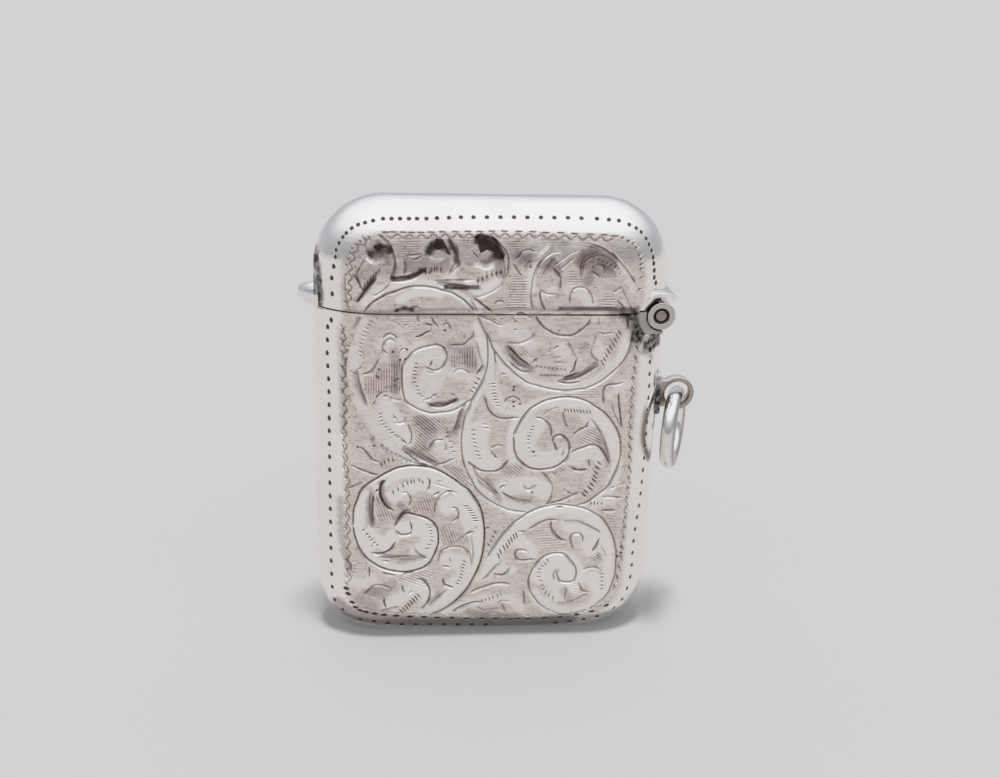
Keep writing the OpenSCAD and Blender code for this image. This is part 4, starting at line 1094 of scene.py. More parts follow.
def pulledPiece(name, verts, way):
    piece = pieceFrom(name, verts, [tuple(range(len(verts)))])
    workAll(bpy.ops.mesh.extrude_region_move, TRANSFORM_OT_translate={"value": way})
    settlePiece(piece, name)
    return piece


def drawnPiece(name, outline, low, high):
    return pulledPiece(name, [(x, low, z) for x, z in outline], (0, (high - low) * mm, 0))


def hoopFaces(count, size):
    faces = []
    for n in range(count):
        here, there = n * size, (n + 1) % count * size
        faces += [(here + i, here + (i + 1) % size, there + (i + 1) % size, there + i) for i in range(size)]
    return faces


def aroundPin(radius, start, stop, count):
    return [tuple(p) for p in arcSpots((pinX, pinZ), radius, start, stop, count)]


def turnedPiece(name, profile, count):
    verts = []
    for n in range(count):
        turn = 2 * math.pi * n / count
        verts += [(pinX + r * math.cos(turn), y, pinZ + r * math.sin(turn)) for r, y in profile]
    piece = pieceFrom(name, verts, hoopFaces(count, len(profile)))
    settlePiece(piece, name)
    return piece


def heightTurn(height, radius):
    return math.degrees(math.asin(height / radius))


# Thumb piece: a disc with a scooped bowl, its underside rising to the rim, cut flat against the lid
thumb = {"midX": -16.6, "radius": 2.45, "low": 36.25, "high": 37.45, "sides": 96, "scoop": 0.5,
             "rim": 0.42, "rings": 7, "ringStep": 0.28, "bowlFrom": 37.0, "bowlClear": 0.01, "cutX": -16.96,
             "lift": 0.6, "liftRun": 2.1, "liftCurve": 1.3, "ease": (0.16, 3, 35)}
thumbShade = {"from": 36.7, "clear": 0.02, "shift": 1.72, "spread": 0.24}
thumbMid = 0.5 * (thumb["low"] + thumb["high"]) * mm
bpy.ops.mesh.primitive_cylinder_add(vertices=thumb["sides"], radius=thumb["radius"] * mm,
                                    depth=(thumb["high"] - thumb["low"]) * mm,
                                    location=(thumb["midX"] * mm, 0, thumbMid))
thumbPiece = bpy.context.active_object
settlePiece(thumbPiece, "thumbPiece")
onlyPick(thumbPiece)
bpy.ops.object.mode_set(mode="EDIT")
bpy.ops.mesh.select_all(action="DESELECT")
work = bmesh.from_edit_mesh(thumbPiece.data)
topFace = max(work.faces, key=lambda f: f.calc_center_median().z)
topFace.select_set(True)
bmesh.update_edit_mesh(thumbPiece.data)
for ringStep in range(thumb["rings"]):
    bpy.ops.mesh.inset(thickness=(thumb["rim"] if ringStep == 0 else thumb["ringStep"]) * mm, depth=0)
work = bmesh.from_edit_mesh(thumbPiece.data)
bowl = thumb["radius"] - thumb["rim"]
for vert in work.verts:
    reach = math.hypot(vert.co.x / mm - thumb["midX"], vert.co.y / mm)
    if vert.co.z > thumb["bowlFrom"] * mm and reach < bowl - thumb["bowlClear"]:
        vert.co.z -= thumb["scoop"] * (1 - (reach / bowl) ** 2) * mm
    elif vert.co.z < thumb["low"] * mm + same["level"]:
        rise = max(0.0, (thumb["cutX"] - vert.co.x / mm) / thumb["liftRun"]) ** thumb["liftCurve"]
        vert.co.z += thumb["lift"] * rise * mm
bmesh.ops.bisect_plane(work, geom=work.verts[:] + work.edges[:] + work.faces[:], clear_outer=True,
                       plane_co=(thumb["cutX"] * mm, 0, 0), plane_no=(1, 0, 0))
bmesh.ops.holes_fill(work, edges=[e for e in work.edges if e.is_boundary])
bmesh.update_edit_mesh(thumbPiece.data)
bpy.ops.object.mode_set(mode="OBJECT")
easeEdges(thumbPiece, *thumb["ease"])
# Painted shade: a dark crescent just inside the rim of the bowl, carried in the cut mark
thumbPaintedShade = []
for vert in thumbPiece.data.vertices:
    x, y = vert.co.x / mm - thumb["midX"], vert.co.y / mm
    inBowl = vert.co.z > thumbShade["from"] * mm and math.hypot(x, y) < bowl - thumbShade["clear"]
    away = (y + thumbShade["shift"] - math.sqrt(max(bowl ** 2 - x * x, 0))) / thumbShade["spread"]
    thumbPaintedShade.append(math.exp(-away ** 2) if inBowl else 0.0)
thumbPiece.data.attributes.new("cut", "FLOAT", "POINT").data.foreach_set("value", thumbPaintedShade)

leaf = {"seatR": 1.6, "leafR": 2.4, "lipR": 1.95, "lipTurn": 55, "seatTurn": 95, "halfLength": 3.38,
            "clear": 0.005, "leafBack": 0.2, "seatBack": 0.3, "counts": (30, 18, 12), "ease": (0.12, 3, 40)}
leafRise = sheet["lidMouth"] - pinZ
leafEnd = 180 - heightTurn(leafRise, leaf["leafR"]) - leaf["leafBack"]
seatEnd = 180 - heightTurn(leafRise, leaf["seatR"]) - leaf["seatBack"]
leafArcs = ((leaf["leafR"] - leaf["clear"], leaf["lipTurn"], leafEnd),
            (leaf["seatR"], seatEnd, leaf["seatTurn"]),
            (leaf["lipR"], leaf["seatTurn"], leaf["lipTurn"]))
leafOutline = [spot for arc, count in zip(leafArcs, leaf["counts"]) for spot in aroundPin(*arc, count)]
hingeLeaf = drawnPiece("hingeLeaf", leafOutline, -leaf["halfLength"], leaf["halfLength"])
easeEdges(hingeLeaf, *leaf["ease"])

barrel = {"radius": 1.4, "bore": 0.56, "mouth": 0.8, "sink": 0.3, "inner": 1.18, "outer": 3.4,
               "sides": 72, "ease": (0.1, 3, 50)}
knuckleSunk = barrel["outer"] - barrel["sink"]
knuckleProfile = [(barrel["bore"], barrel["inner"]), (barrel["radius"], barrel["inner"]),
                  (barrel["radius"], barrel["outer"]), (barrel["mouth"], barrel["outer"]),
                  (barrel["mouth"], knuckleSunk), (barrel["bore"], knuckleSunk)]
frontKnuckle = turnedPiece("frontKnuckle", [(r, -y) for r, y in knuckleProfile], barrel["sides"])
rearKnuckle = turnedPiece("rearKnuckle", knuckleProfile, barrel["sides"])
for knuckle in (frontKnuckle, rearKnuckle):
    easeEdges(knuckle, *barrel["ease"])

pin = {"radius": 0.55, "end": 3.36, "dome": 0.16, "domeShare": 0.98, "domeSteps": 8, "sides": 40,
           "ease": (0.005, 1, 80, 50)}
pinTurns = np.linspace(0, math.pi / 2 * pin["domeShare"], pin["domeSteps"])
pinProfile = [(pin["radius"] * math.cos(t),
               pin["end"] - pin["dome"] + pin["dome"] * math.sin(t)) for t in pinTurns]
hingePin = turnedPiece("hingePin", [(r, -y) for r, y in pinProfile[::-1]] + pinProfile, pin["sides"])
onlyPick(hingePin)
workAll(bpy.ops.mesh.fill_holes, sides=0)
easeEdges(hingePin, *pin["ease"])

block = {"radius": 2.43, "right": 0.25, "low": -1.83, "high": 0.43, "seat": 1.4, "seatClear": 0.12,
             "slot": 1.25, "half": 3.38, "counts": (16, 26), "ease": (0.08, 2, 40)}


def blockOutline():
    outerR, seatR = block["radius"], block["seat"]
    high, low, right = block["high"], block["low"], block["right"]
    outer = aroundPin(outerR, 180 - heightTurn(high, outerR), 180 + heightTurn(-low, outerR),
                      block["counts"][0])
    seat = aroundPin(seatR + block["seatClear"], 270 + heightTurn(right, seatR),
                     180 - heightTurn(high, seatR), block["counts"][1])
    return outer + [(pinX + right, pinZ + low)] + seat


blockHalves = [drawnPiece("blockHalf", blockOutline(), side * block["slot"], side * block["half"])
               for side in (-1, 1)]
for blockHalf in blockHalves:
    easeEdges(blockHalf, *block["ease"])
onlyPick(blockHalves[0])
blockHalves[1].select_set(True)
bpy.ops.object.join()
hingeBlock = blockHalves[0]
hingeBlock.name = "hingeBlock"

# Lid knuckle: two flats for the spring, and a web up to the hinge leaf
cam = {"radius": 1.4, "bore": 0.58, "flat": 1.15, "half": 1.15, "flats": (180, 290),
           "webStart": 95, "webStop": 155, "webR": 1.6, "sides": 120, "ease": (0.06, 2, 50)}
camTurns = np.linspace(0, 360, cam["sides"], endpoint=False)
camOuter = []
for turn in camTurns:
    reach = cam["radius"]
    for flatTurn in cam["flats"]:
        lean = math.cos(math.radians(turn - flatTurn))
        if lean > 0:
            reach = min(reach, cam["flat"] / lean)
    camOuter.append(cam["webR"] if cam["webStart"] <= turn <= cam["webStop"] else reach)
camVerts, camFaces, camCount = [], [], cam["sides"]
for y in (-cam["half"], cam["half"]):
    for reaches in (camOuter, [cam["bore"]] * camCount):
        camVerts += [(pinX + r * math.cos(math.radians(t)), y,
                      pinZ + r * math.sin(math.radians(t))) for r, t in zip(reaches, camTurns)]
rows = [k * camCount for k in range(4)]
for n in range(camCount):
    m = (n + 1) % camCount
    camFaces += [(rows[0] + n, rows[0] + m, rows[1] + m, rows[1] + n),
                 (rows[2] + n, rows[3] + n, rows[3] + m, rows[2] + m),
                 (rows[0] + n, rows[2] + n, rows[2] + m, rows[0] + m),
                 (rows[1] + n, rows[1] + m, rows[3] + m, rows[3] + n)]
lidKnuckle = pieceFrom("lidKnuckle", camVerts, camFaces)
settlePiece(lidKnuckle, "lidKnuckle")
easeEdges(lidKnuckle, *cam["ease"])

hoop = {"midX": 19.6, "midZ": 26.35, "hole": 1.3, "outer": 1.795, "half": 0.55,
           "neckX": 17.78, "neckZ": 1.44, "sides": 120, "ease": (0.2, 4, 50)}
eyeVerts = []
for n in range(hoop["sides"]):
    turn = 2 * math.pi * n / hoop["sides"]
    lean, rise = math.cos(turn), math.sin(turn)
    reach = hoop["outer"]
    if lean < 0 and abs(rise) * hoop["outer"] < hoop["neckZ"]:
        neckReach = hoop["neckZ"] / max(abs(rise), tiny)
        reach = min((hoop["midX"] - hoop["neckX"]) / -lean, neckReach)
    for radius, side in ((reach, -1), (reach, 1), (hoop["hole"], 1), (hoop["hole"], -1)):
        x, z = hoop["midX"] + radius * lean, hoop["midZ"] + radius * rise
        eyeVerts.append((x, side * hoop["half"], z))
chainLoop = pieceFrom("chainLoop", eyeVerts, hoopFaces(hoop["sides"], 4))
settlePiece(chainLoop, "chainLoop")
easeEdges(chainLoop, *hoop["ease"])

foot = {"left": 16.95, "right": 17.8, "tall": 2.3, "half": 1.2, "midZ": 26.35, "count": 14,
            "ease": (0.14, 3, 40)}
footTurn = heightTurn(foot["half"], foot["tall"])
footRound = [(foot["tall"] * math.sin(t), foot["tall"] * math.cos(t))
             for t in np.radians(np.linspace(-footTurn, footTurn, foot["count"]))]
footOutline = footRound + [(-y, -z) for y, z in footRound]
loopFoot = pulledPiece("loopFoot", [(foot["left"], y, foot["midZ"] + z) for y, z in footOutline],
                       ((foot["right"] - foot["left"]) * mm, 0, 0))
easeEdges(loopFoot, *foot["ease"])

# Jump ring: round wire, a little worn in three places and sunk where its ends are soldered
ringForm = {"midX": 19.6, "midZ": 22.45, "radius": 3.68, "wire": 0.75, "sides": 144, "wireSides": 32,
            "turn": -21, "solder": math.radians(205), "solderDip": 0.05, "solderSpan": 0.14,
            "wornDip": 0.03, "wornPlaces": 3, "wornShift": 0.6}
bpy.ops.mesh.primitive_torus_add(major_radius=ringForm["radius"] * mm, minor_radius=ringForm["wire"] * mm,
                                 major_segments=ringForm["sides"], minor_segments=ringForm["wireSides"])
jumpRing = bpy.context.active_object
for vert in jumpRing.data.vertices:
    turn = math.atan2(vert.co.y, vert.co.x)
    core = Vector((math.cos(turn), math.sin(turn), 0)) * ringForm["radius"] * mm
    gap = abs((turn - ringForm["solder"] + math.pi) % (2 * math.pi) - math.pi) * ringForm["radius"]
    solder = ringForm["solderDip"] * math.exp(-(gap / ringForm["solderSpan"]) ** 2)
    worn = ringForm["wornDip"] * (0.5 + 0.5 * math.sin(ringForm["wornPlaces"] * turn + ringForm["wornShift"]))
    vert.co = core + (vert.co - core) * (1 - solder - worn)
jumpRing.rotation_euler = (0, math.radians(90), math.radians(ringForm["turn"]))
jumpRing.location = (ringForm["midX"] * mm, 0, ringForm["midZ"] * mm)
settlePiece(jumpRing, "jumpRing")
bpy.ops.object.shade_smooth()
print("fittings made")


# Finishes, all worked from object coordinates and the marks that the shells carry
def nodeOf(tree, kind, **values):
    node = tree.nodes.new(kind)
    for key, value in values.items():
        setattr(node, key, value)
    return node


def newFinish(name):
    finish = bpy.data.materials.new(name)
    finish.use_nodes = True
    return finish, finish.node_tree, finish.node_tree.nodes["Principled BSDF"]


def markOf(tree, label):
    return nodeOf(tree, "ShaderNodeAttribute", attribute_name=label).outputs["Fac"]


def noiseOf(tree, spots, scale, detail, stretch=None):
    if stretch:
        shift = nodeOf(tree, "ShaderNodeMapping")
        shift.inputs["Scale"].default_value = stretch
        tree.links.new(spots, shift.inputs["Vector"])
        spots = shift.outputs["Vector"]
    noise = nodeOf(tree, "ShaderNodeTexNoise")
    noise.inputs["Scale"].default_value = scale
    noise.inputs["Detail"].default_value = detail
    tree.links.new(spots, noise.inputs["Vector"])
    return noise.outputs["Fac"]


def rangeOf(tree, source, low, high, toLow, toHigh):
    span = nodeOf(tree, "ShaderNodeMapRange")
    for key, value in (("From Min", low), ("From Max", high), ("To Min", toLow), ("To Max", toHigh)):
        span.inputs[key].default_value = value
    tree.links.new(source, span.inputs["Value"])
    return span.outputs["Result"]


def sumOf(tree, kind, first, second):
    node = nodeOf(tree, "ShaderNodeMath", operation=kind)
    for slot, value in ((0, first), (1, second)):
        if isinstance(value, (int, float)):
            node.inputs[slot].default_value = value
        else:
            tree.links.new(value, node.inputs[slot])
    return node.outputs["Value"]


def blendOf(tree, share, first, second):
    node = nodeOf(tree, "ShaderNodeMix", data_type="RGBA")
    for key, value in (("A", first), ("B", second)):
        slot = next(s for s in node.inputs if s.name == key and s.type == "RGBA")
        if isinstance(value, tuple):
            slot.default_value = (*value, 1)
        else:
            tree.links.new(value, slot)
    tree.links.new(share, next(s for s in node.inputs if s.name == "Factor" and s.type == "VALUE"))
    return next(s for s in node.outputs if s.type == "RGBA")


# Dark spots of grime and of painted shade: a crisp one has a clear edge, the others a ragged one
grimeAndShadeEdge = {False: {"ragged": (0.3, 0.7, -0.4, 0.4), "fade": (0.5, 1.1, 1.0, 0.0)},
             True: {"ragged": (0.3, 0.7, -0.06, 0.06), "fade": (0.92, 1.0, 1.0, 0.0)}}


def grimeAndShadeMask(tree, spots, noise, place, size, crisp):
    shift = nodeOf(tree, "ShaderNodeMapping", vector_type="TEXTURE")
    shift.inputs["Location"].default_value = [c * mm for c in place]
    shift.inputs["Scale"].default_value = [c * mm for c in size]
    tree.links.new(spots, shift.inputs["Vector"])
    length = nodeOf(tree, "ShaderNodeVectorMath", operation="LENGTH")
    tree.links.new(shift.outputs["Vector"], length.inputs[0])
    ragged = rangeOf(tree, noise, *grimeAndShadeEdge[crisp]["ragged"])
    return rangeOf(tree, sumOf(tree, "ADD", length.outputs["Value"], ragged), *grimeAndShadeEdge[crisp]["fade"])


# Noise patterns as scale, detail and stretch; levels as from low, from high, to low, to high
grain = {"cloud": (260, 4), "fine": (1900, 3), "scratch": (900, 2, (1.0, 1.0, 9.0)), "mottle": (520, 5),
         "streak": (5000, 2, (0.2, 1.0, 1.0)), "speck": (2600, 3), "shade": (900, 4), "soilAndShade": (700, 4),
         "soilAndShadeGap": (1700, 3)}
levels = {"cloud": (0.35, 0.75), "roughCloud": (0.3, 0.7), "roughScratch": (0.35, 0.65, -0.03, 0.04),
          "mottle": (0.35, 0.65, 0.7, 1.25), "ground": (0.0, 1.0, 0.0, 0.5),
          "streak": (0.36, 0.64, -0.3, 0.38), "speck": (0.60, 0.70, 0.0, 0.55),
          "shadeGrain": (0.3, 0.65, 0.85, 1.0), "hollow": (0.0, 0.7, 0.0, 0.85),
          "deep": (0.65, 0.95, 0.0, 0.95), "stain": (0.12, 0.85, 0.0, 0.85),
          "stainGrain": (0.3, 0.6, 0.75, 1.0), "black": (0.7, 1.0, 0.0, 0.85),
          "dullRough": (0.0, 1.5, 0.0, 0.2), "edge": (0.6, 0.97, 0.0, 0.8), "matte": (0.4, 0.9, 0.0, 1.0),
          "soilAndShadeGap": (0.36, 0.6, 0.6, 1.0), "metallic": (0.0, 1.0, 1.0, 0.6),
          "specular": (0.0, 1.0, 0.5, 0.1)}
roughSpread = {"less": 0.03, "more": 0.04}
soilAndShadeForm = {"colour": 0.98, "rough": 0.35}
bumpForm = {"strength": 0.12, "distance": 0.00004}
# Among the tones, the mauve brown and the near-black blue are painted shade (the mauve brown also colours
# tarnish specks), and the three edge tones paint shade on faces turned one way
tones = {"panel": (0.825, 0.745, 0.70), "ground": (0.40, 0.35, 0.33), "hollow": (0.27, 0.205, 0.205),
         "deep": (0.045, 0.042, 0.052), "brown": (0.12, 0.075, 0.055), "black": (0.028, 0.020, 0.017),
         "edge": (0.24, 0.20, 0.17), "loopPaintedShade": (0.36, 0.30, 0.25), "knucklePaintedShade": (0.52, 0.47, 0.45)}


def markedLook(tree, spots, colour, roughness, fine):
    cut, dull, patina, shade = [markOf(tree, label) for label in ("cut", "dull", "patina", "shade")]

    def spread(source, label):
        return rangeOf(tree, source, *levels[label])

    def grained(source, noiseLabel, levelLabel):
        return sumOf(tree, "MULTIPLY", source, spread(noiseOf(tree, spots, *grain[noiseLabel]), levelLabel))

    colour = blendOf(tree, grained(patina, "mottle", "mottle"), colour, tones["panel"])
    colour = blendOf(tree, spread(dull, "ground"), colour, tones["ground"])
    colour = blendOf(tree, grained(patina, "streak", "streak"), colour, tones["ground"])
    colour = blendOf(tree, grained(patina, "speck", "speck"), colour, tones["hollow"])
    # Painted shade: the shade mark blends the panel to a mauve brown and then near-black, for dark
    # reflections and shadow in the hollows, along the seam and on the base roll
    shade = grained(shade, "shade", "shadeGrain")
    colour = blendOf(tree, spread(shade, "hollow"), colour, tones["hollow"])
    colour = blendOf(tree, spread(shade, "deep"), colour, tones["deep"])
    stain = sumOf(tree, "MULTIPLY", spread(cut, "stain"), spread(fine, "stainGrain"))
    colour = blendOf(tree, stain, colour, tones["brown"])
    colour = blendOf(tree, spread(cut, "black"), colour, tones["black"])
    blunt = sumOf(tree, "ADD", stain, sumOf(tree, "ADD", dull, patina))
    roughness = sumOf(tree, "ADD", roughness, spread(blunt, "dullRough"))
    return colour, roughness, spread(cut, "matte")


def wornMetal(name, bright, tarnish, rough, cloudShare, marks=False, grimeAndShade=(), shadedFaceAim=None,
              paintedShadeTone=tones["edge"]):
    finish, tree, skin = newFinish(name)
    spots = nodeOf(tree, "ShaderNodeTexCoord").outputs["Object"]
    cloud, fine, scratch = [noiseOf(tree, spots, *grain[label]) for label in ("cloud", "fine", "scratch")]
    colour = blendOf(tree, rangeOf(tree, cloud, *levels["cloud"], 0.0, cloudShare), bright, tarnish)
    lowRough, highRough = rough - roughSpread["less"], rough + roughSpread["more"]
    roughness = sumOf(tree, "ADD", rangeOf(tree, cloud, *levels["roughCloud"], lowRough, highRough),
                      rangeOf(tree, scratch, *levels["roughScratch"]))
    soilAndShade, matte = None, None
    if marks:
        colour, roughness, matte = markedLook(tree, spots, colour, roughness, fine)
    # Painted shade: faces turned along the given axis are blended to a darker tone
    if shadedFaceAim:
        lean = nodeOf(tree, "ShaderNodeVectorMath", operation="DOT_PRODUCT")
        tree.links.new(nodeOf(tree, "ShaderNodeTexCoord").outputs["Normal"], lean.inputs[0])
        lean.inputs[1].default_value = shadedFaceAim
        facing = sumOf(tree, "ABSOLUTE", lean.outputs["Value"], 0.0)
        colour = blendOf(tree, rangeOf(tree, facing, *levels["edge"]), colour, paintedShadeTone)
    for place, size, crisp in grimeAndShade:
        mask = grimeAndShadeMask(tree, spots, noiseOf(tree, spots, *grain["soilAndShade"]), place, size, crisp)
        if not crisp:
            gaps = rangeOf(tree, noiseOf(tree, spots, *grain["soilAndShadeGap"]), *levels["soilAndShadeGap"])
            mask = sumOf(tree, "MULTIPLY", mask, gaps)
        soilAndShade = sumOf(tree, "MAXIMUM", soilAndShade, mask) if soilAndShade else mask
    if soilAndShade:
        colour = blendOf(tree, sumOf(tree, "MULTIPLY", soilAndShade, soilAndShadeForm["colour"]), colour, tones["black"])
        roughness = sumOf(tree, "ADD", roughness, sumOf(tree, "MULTIPLY", soilAndShade, soilAndShadeForm["rough"]))
        matte = sumOf(tree, "MAXIMUM", soilAndShade, matte) if matte else soilAndShade
    tree.links.new(colour, skin.inputs["Base Color"])
    tree.links.new(roughness, skin.inputs["Roughness"])
    if matte:
        tree.links.new(rangeOf(tree, matte, *levels["metallic"]), skin.inputs["Metallic"])
        tree.links.new(rangeOf(tree, matte, *levels["specular"]), skin.inputs["Specular IOR Level"])
    else:
        skin.inputs["Metallic"].default_value = 1.0
    bump = nodeOf(tree, "ShaderNodeBump")
    bump.inputs["Strength"].default_value = bumpForm["strength"]
    bump.inputs["Distance"].default_value = bumpForm["distance"]
    tree.links.new(sumOf(tree, "ADD", fine, scratch), bump.inputs["Height"])
    tree.links.new(bump.outputs["Normal"], skin.inputs["Normal"])
    return finish


# Each spot is a place, a size and whether its edge is crisp; each pair is bright metal and its tarnish. The
# spots at the lid's left end are grime; those under the hinge block and at the seam beside it are painted
# shade with some tarnish; the pin and lip spots and the loop's bore are painted shade; the spots at the
# loop's foot darken it and the case beside it
shellGrimeAndShade = [((-17.15, -1.3, 40.4), (0.55, 1.1, 1.7), False), ((-17.0, -2.0, 38.3), (0.7, 0.9, 2.1), False),
              ((-17.3, -0.9, 38.2), (0.5, 1.0, 1.6), False), ((14.5, -3.8, 34.3), (1.4, 1.3, 2.6), False),
              ((15.8, -3.0, 32.9), (1.9, 2.0, 1.7), False), ((13.4, -4.3, 36.2), (2.2, 0.9, 0.8), False),
              ((17.3, -0.8, 26.3), (0.7, 1.6, 3.4), False)]
pinPaintedShade = [((16.65, -3.08, 35.7), (0.86, 0.29, 0.86), True)]
loopDarkSpots = [((19.6, 0, 26.35), (1.25, 2.0, 1.25), False), ((17.5, -1.2, 26.3), (0.5, 1.0, 2.6), False)]
leafGrime = [((15.5, -3.3, 37.2), (0.9, 0.5, 0.5), False)]
lipPaintedShade = [((16.65, -3.42, 35.7), (2.06, 0.5, 2.06), True)]
fittingDarkSpots = pinPaintedShade + loopDarkSpots + leafGrime
# Painted shade goes on faces turned along these axes: the jump ring's sides, and the front and back faces of
# the loop and the knuckles
ringAxis, frontAxis = (0.93358, -0.35837, 0.0), (0.0, 1.0, 0.0)
shellPair, fittingPair = ((0.985, 0.96, 0.925), (0.89, 0.85, 0.80)), ((0.93, 0.91, 0.88), (0.60, 0.55, 0.49))
brightPair, ringPair = ((0.95, 0.94, 0.925), (0.66, 0.62, 0.58)), ((0.95, 0.94, 0.925), (0.62, 0.58, 0.53))
engravedSilver = wornMetal("engravedSilver", *shellPair, 0.15, 0.35, True, shellGrimeAndShade)
thumbSilver = wornMetal("thumbSilver", *brightPair, 0.12, 0.4, True)
lipSilver = wornMetal("lipSilver", *brightPair, 0.11, 0.4, False, lipPaintedShade)
polishedSilver = wornMetal("polishedSilver", *brightPair, 0.11, 0.4, False, fittingDarkSpots)
ringSilver = wornMetal("ringSilver", *ringPair, 0.1, 0.45, False, (), ringAxis)
loopSilver = wornMetal("loopSilver", *fittingPair, 0.14, 0.4, False, loopDarkSpots, frontAxis, tones["loopPaintedShade"])
knuckleSilver = wornMetal("knuckleSilver", *fittingPair, 0.14, 0.4, False, pinPaintedShade, frontAxis,
                          tones["knucklePaintedShade"])
pinSilver = wornMetal("pinSilver", (0.42, 0.38, 0.33), (0.22, 0.18, 0.15), 0.3, 0.7)
grimySilver = wornMetal("grimySilver", (0.62, 0.59, 0.56), (0.16, 0.12, 0.10), 0.36, 0.8)
insideSilver = wornMetal("insideSilver", (0.70, 0.67, 0.62), (0.42, 0.37, 0.32), 0.36, 0.6)
bluedSteel = wornMetal("bluedSteel", (0.30, 0.31, 0.34), (0.17, 0.16, 0.17), 0.36, 0.6)

pieces = [(bodyFront, "case", "body_front", "silver", engravedSilver),
          (bodyBack, "case", "body_back", "silver", engravedSilver),
          (lidFront, "lid", "lid_front", "silver", engravedSilver),
          (lidBack, "lid", "lid_back", "silver", engravedSilver),
          (thumbPiece, "lid", "thumb_piece", "silver", thumbSilver),
          (hingeLeaf, "lid", "hinge_leaf", "silver", lipSilver),
          (lidKnuckle, "lid", "lid_knuckle", "silver", polishedSilver),
          (frontKnuckle, "case", "front_knuckle", "silver", knuckleSilver),
          (rearKnuckle, "case", "rear_knuckle", "silver", knuckleSilver),
          (hingePin, "case", "hinge_pin", "worn_silver", pinSilver),
          (hingeBlock, "case", "hinge_block", "worn_silver", grimySilver),
          (chainLoop, "case", "chain_loop", "silver", loopSilver),
          (loopFoot, "case", "loop_foot", "silver", polishedSilver),
          (jumpRing, "ring", "jump_ring", "silver", ringSilver)]
for piece, body, node, slot, finish in pieces:
    piece.data.materials.clear()
    piece.data.materials.append(finish)
    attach(piece, body)
    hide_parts(node)

# Plain inner pieces stay as they come, with softened edges and a worn finish
kept = {"striker": (grimySilver, 0.06), "mouth_collar": (insideSilver, 0.08),
        "lid_spring": (bluedSteel, 0.05), "spring_seat": (insideSilver, 0.08),
        "spring_rivets": (grimySilver, 0.08)}
keptEase = {"weld": 0.00001, "steps": 2, "angle": 40}
for node, (finish, width) in kept.items():
    piece = nodes[node]
    weld = piece.modifiers.new("weld", "WELD")
    weld.merge_threshold = keptEase["weld"]
    bevelOn(piece, width, keptEase["steps"], keptEase["angle"])
    piece.data.materials.clear()
    piece.data.materials.append(finish)
print("finishes laid")

# Floor: pale paper that glows a little for the camera and for reflections
paper = {"size": 6.0, "place": (0, 1.5, 0), "colour": (0.29, 0.286, 0.284, 1), "glow": 0.10,
         "glowColour": (1.0, 0.985, 0.985, 1), "rough": 0.9}
bpy.ops.mesh.primitive_plane_add(size=paper["size"], location=paper["place"])
floor = bpy.context.active_object
floor.name = "paperFloor"
floorFinish, floorTree, floorSkin = newFinish("palePaper")
floorSkin.inputs["Base Color"].default_value = paper["colour"]
path = nodeOf(floorTree, "ShaderNodeLightPath")
seen = sumOf(floorTree, "ADD", path.outputs["Is Camera Ray"], path.outputs["Is Glossy Ray"])
seen = sumOf(floorTree, "ADD", seen, path.outputs["Is Transmission Ray"])
floorTree.links.new(sumOf(floorTree, "MULTIPLY", seen, paper["glow"]), floorSkin.inputs["Emission Strength"])
floorSkin.inputs["Emission Color"].default_value = paper["glowColour"]
floorSkin.inputs["Roughness"].default_value = paper["rough"]
floorSkin.inputs["Specular IOR Level"].default_value = 0.0
floor.data.materials.append(floorFinish)

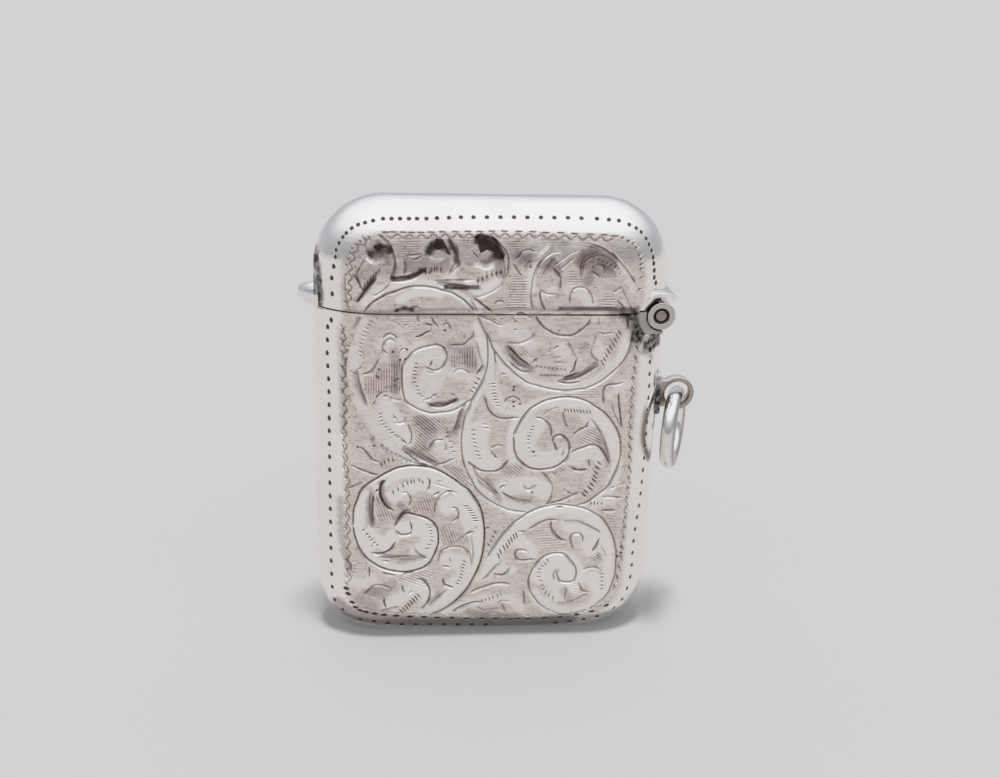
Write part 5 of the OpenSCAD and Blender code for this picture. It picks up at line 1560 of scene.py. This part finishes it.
# Soft light from a pale room: bright overhead, darker at the horizon, cooler low at the back
roomForm = {"stops": [(0.0, 0.34), (0.30, 0.44), (0.60, 0.92), (0.8, 0.96), (1.0, 0.95)],
            "tint": (0.96, 0.975, 1.01), "back": (-0.6, 0.7, 0.0, 1.0), "low": (0.1, 1.0, 1.0, 0.0),
            "backTone": (0.50, 0.495, 0.585), "wallTone": (0.645, 0.638, 0.638)}
sunForm = {"energy": 3.6, "angle": math.radians(10), "colour": (1.0, 0.985, 0.96), "aim": (0.0, 0.1, -1.0)}
world = bpy.data.worlds.new("softRoom")
scene.world = world
world.use_nodes = True
room = world.node_tree
sky = room.nodes["Background"]
split = nodeOf(room, "ShaderNodeSeparateXYZ")
room.links.new(nodeOf(room, "ShaderNodeTexCoord").outputs["Generated"], split.inputs["Vector"])
ramp = nodeOf(room, "ShaderNodeValToRGB")
room.links.new(split.outputs["Z"], ramp.inputs["Fac"])
while len(ramp.color_ramp.elements) < len(roomForm["stops"]):
    ramp.color_ramp.elements.new(0.5)
for element, (place, level) in zip(ramp.color_ramp.elements, roomForm["stops"]):
    element.position = place
    element.color = (*[level * share for share in roomForm["tint"]], 1)
back = rangeOf(room, split.outputs["Y"], *roomForm["back"])
low = rangeOf(room, split.outputs["Z"], *roomForm["low"])
colour = blendOf(room, sumOf(room, "MULTIPLY", back, low), ramp.outputs["Color"], roomForm["backTone"])
path = nodeOf(room, "ShaderNodeLightPath")
colour = blendOf(room, path.outputs["Is Camera Ray"], colour, roomForm["wallTone"])
room.links.new(colour, sky.inputs["Color"])
sky.inputs["Strength"].default_value = 1.0
lamp = bpy.data.lights.new("softSun", "SUN")
lamp.energy, lamp.angle, lamp.color = sunForm["energy"], sunForm["angle"], sunForm["colour"]
lampStand = bpy.data.objects.new("softSun", lamp)
lampStand.rotation_euler = Vector(sunForm["aim"]).to_track_quat("-Z", "Y").to_euler()
lampStand.visible_glossy = False
scene.collection.objects.link(lampStand)
print("room lit")

# Camera at the photograph's place
lens = bpy.data.cameras.new("photoCamera")
lens.lens, lens.sensor_width = view["focal"] * view["sensor"] / view["width"], view["sensor"]
lens.sensor_fit = "HORIZONTAL"
lens.clip_start, lens.clip_end = view["near"], view["far"]
eye = bpy.data.objects.new("photoCamera", lens)
scene.collection.objects.link(eye)
turned = Matrix(cameraAxes()).transposed().to_4x4()
eye.matrix_world = Matrix.Translation(Vector(view["place"]) * mm) @ turned
scene.camera = eye
scene.view_settings.view_transform = "Standard"
print("camera set")
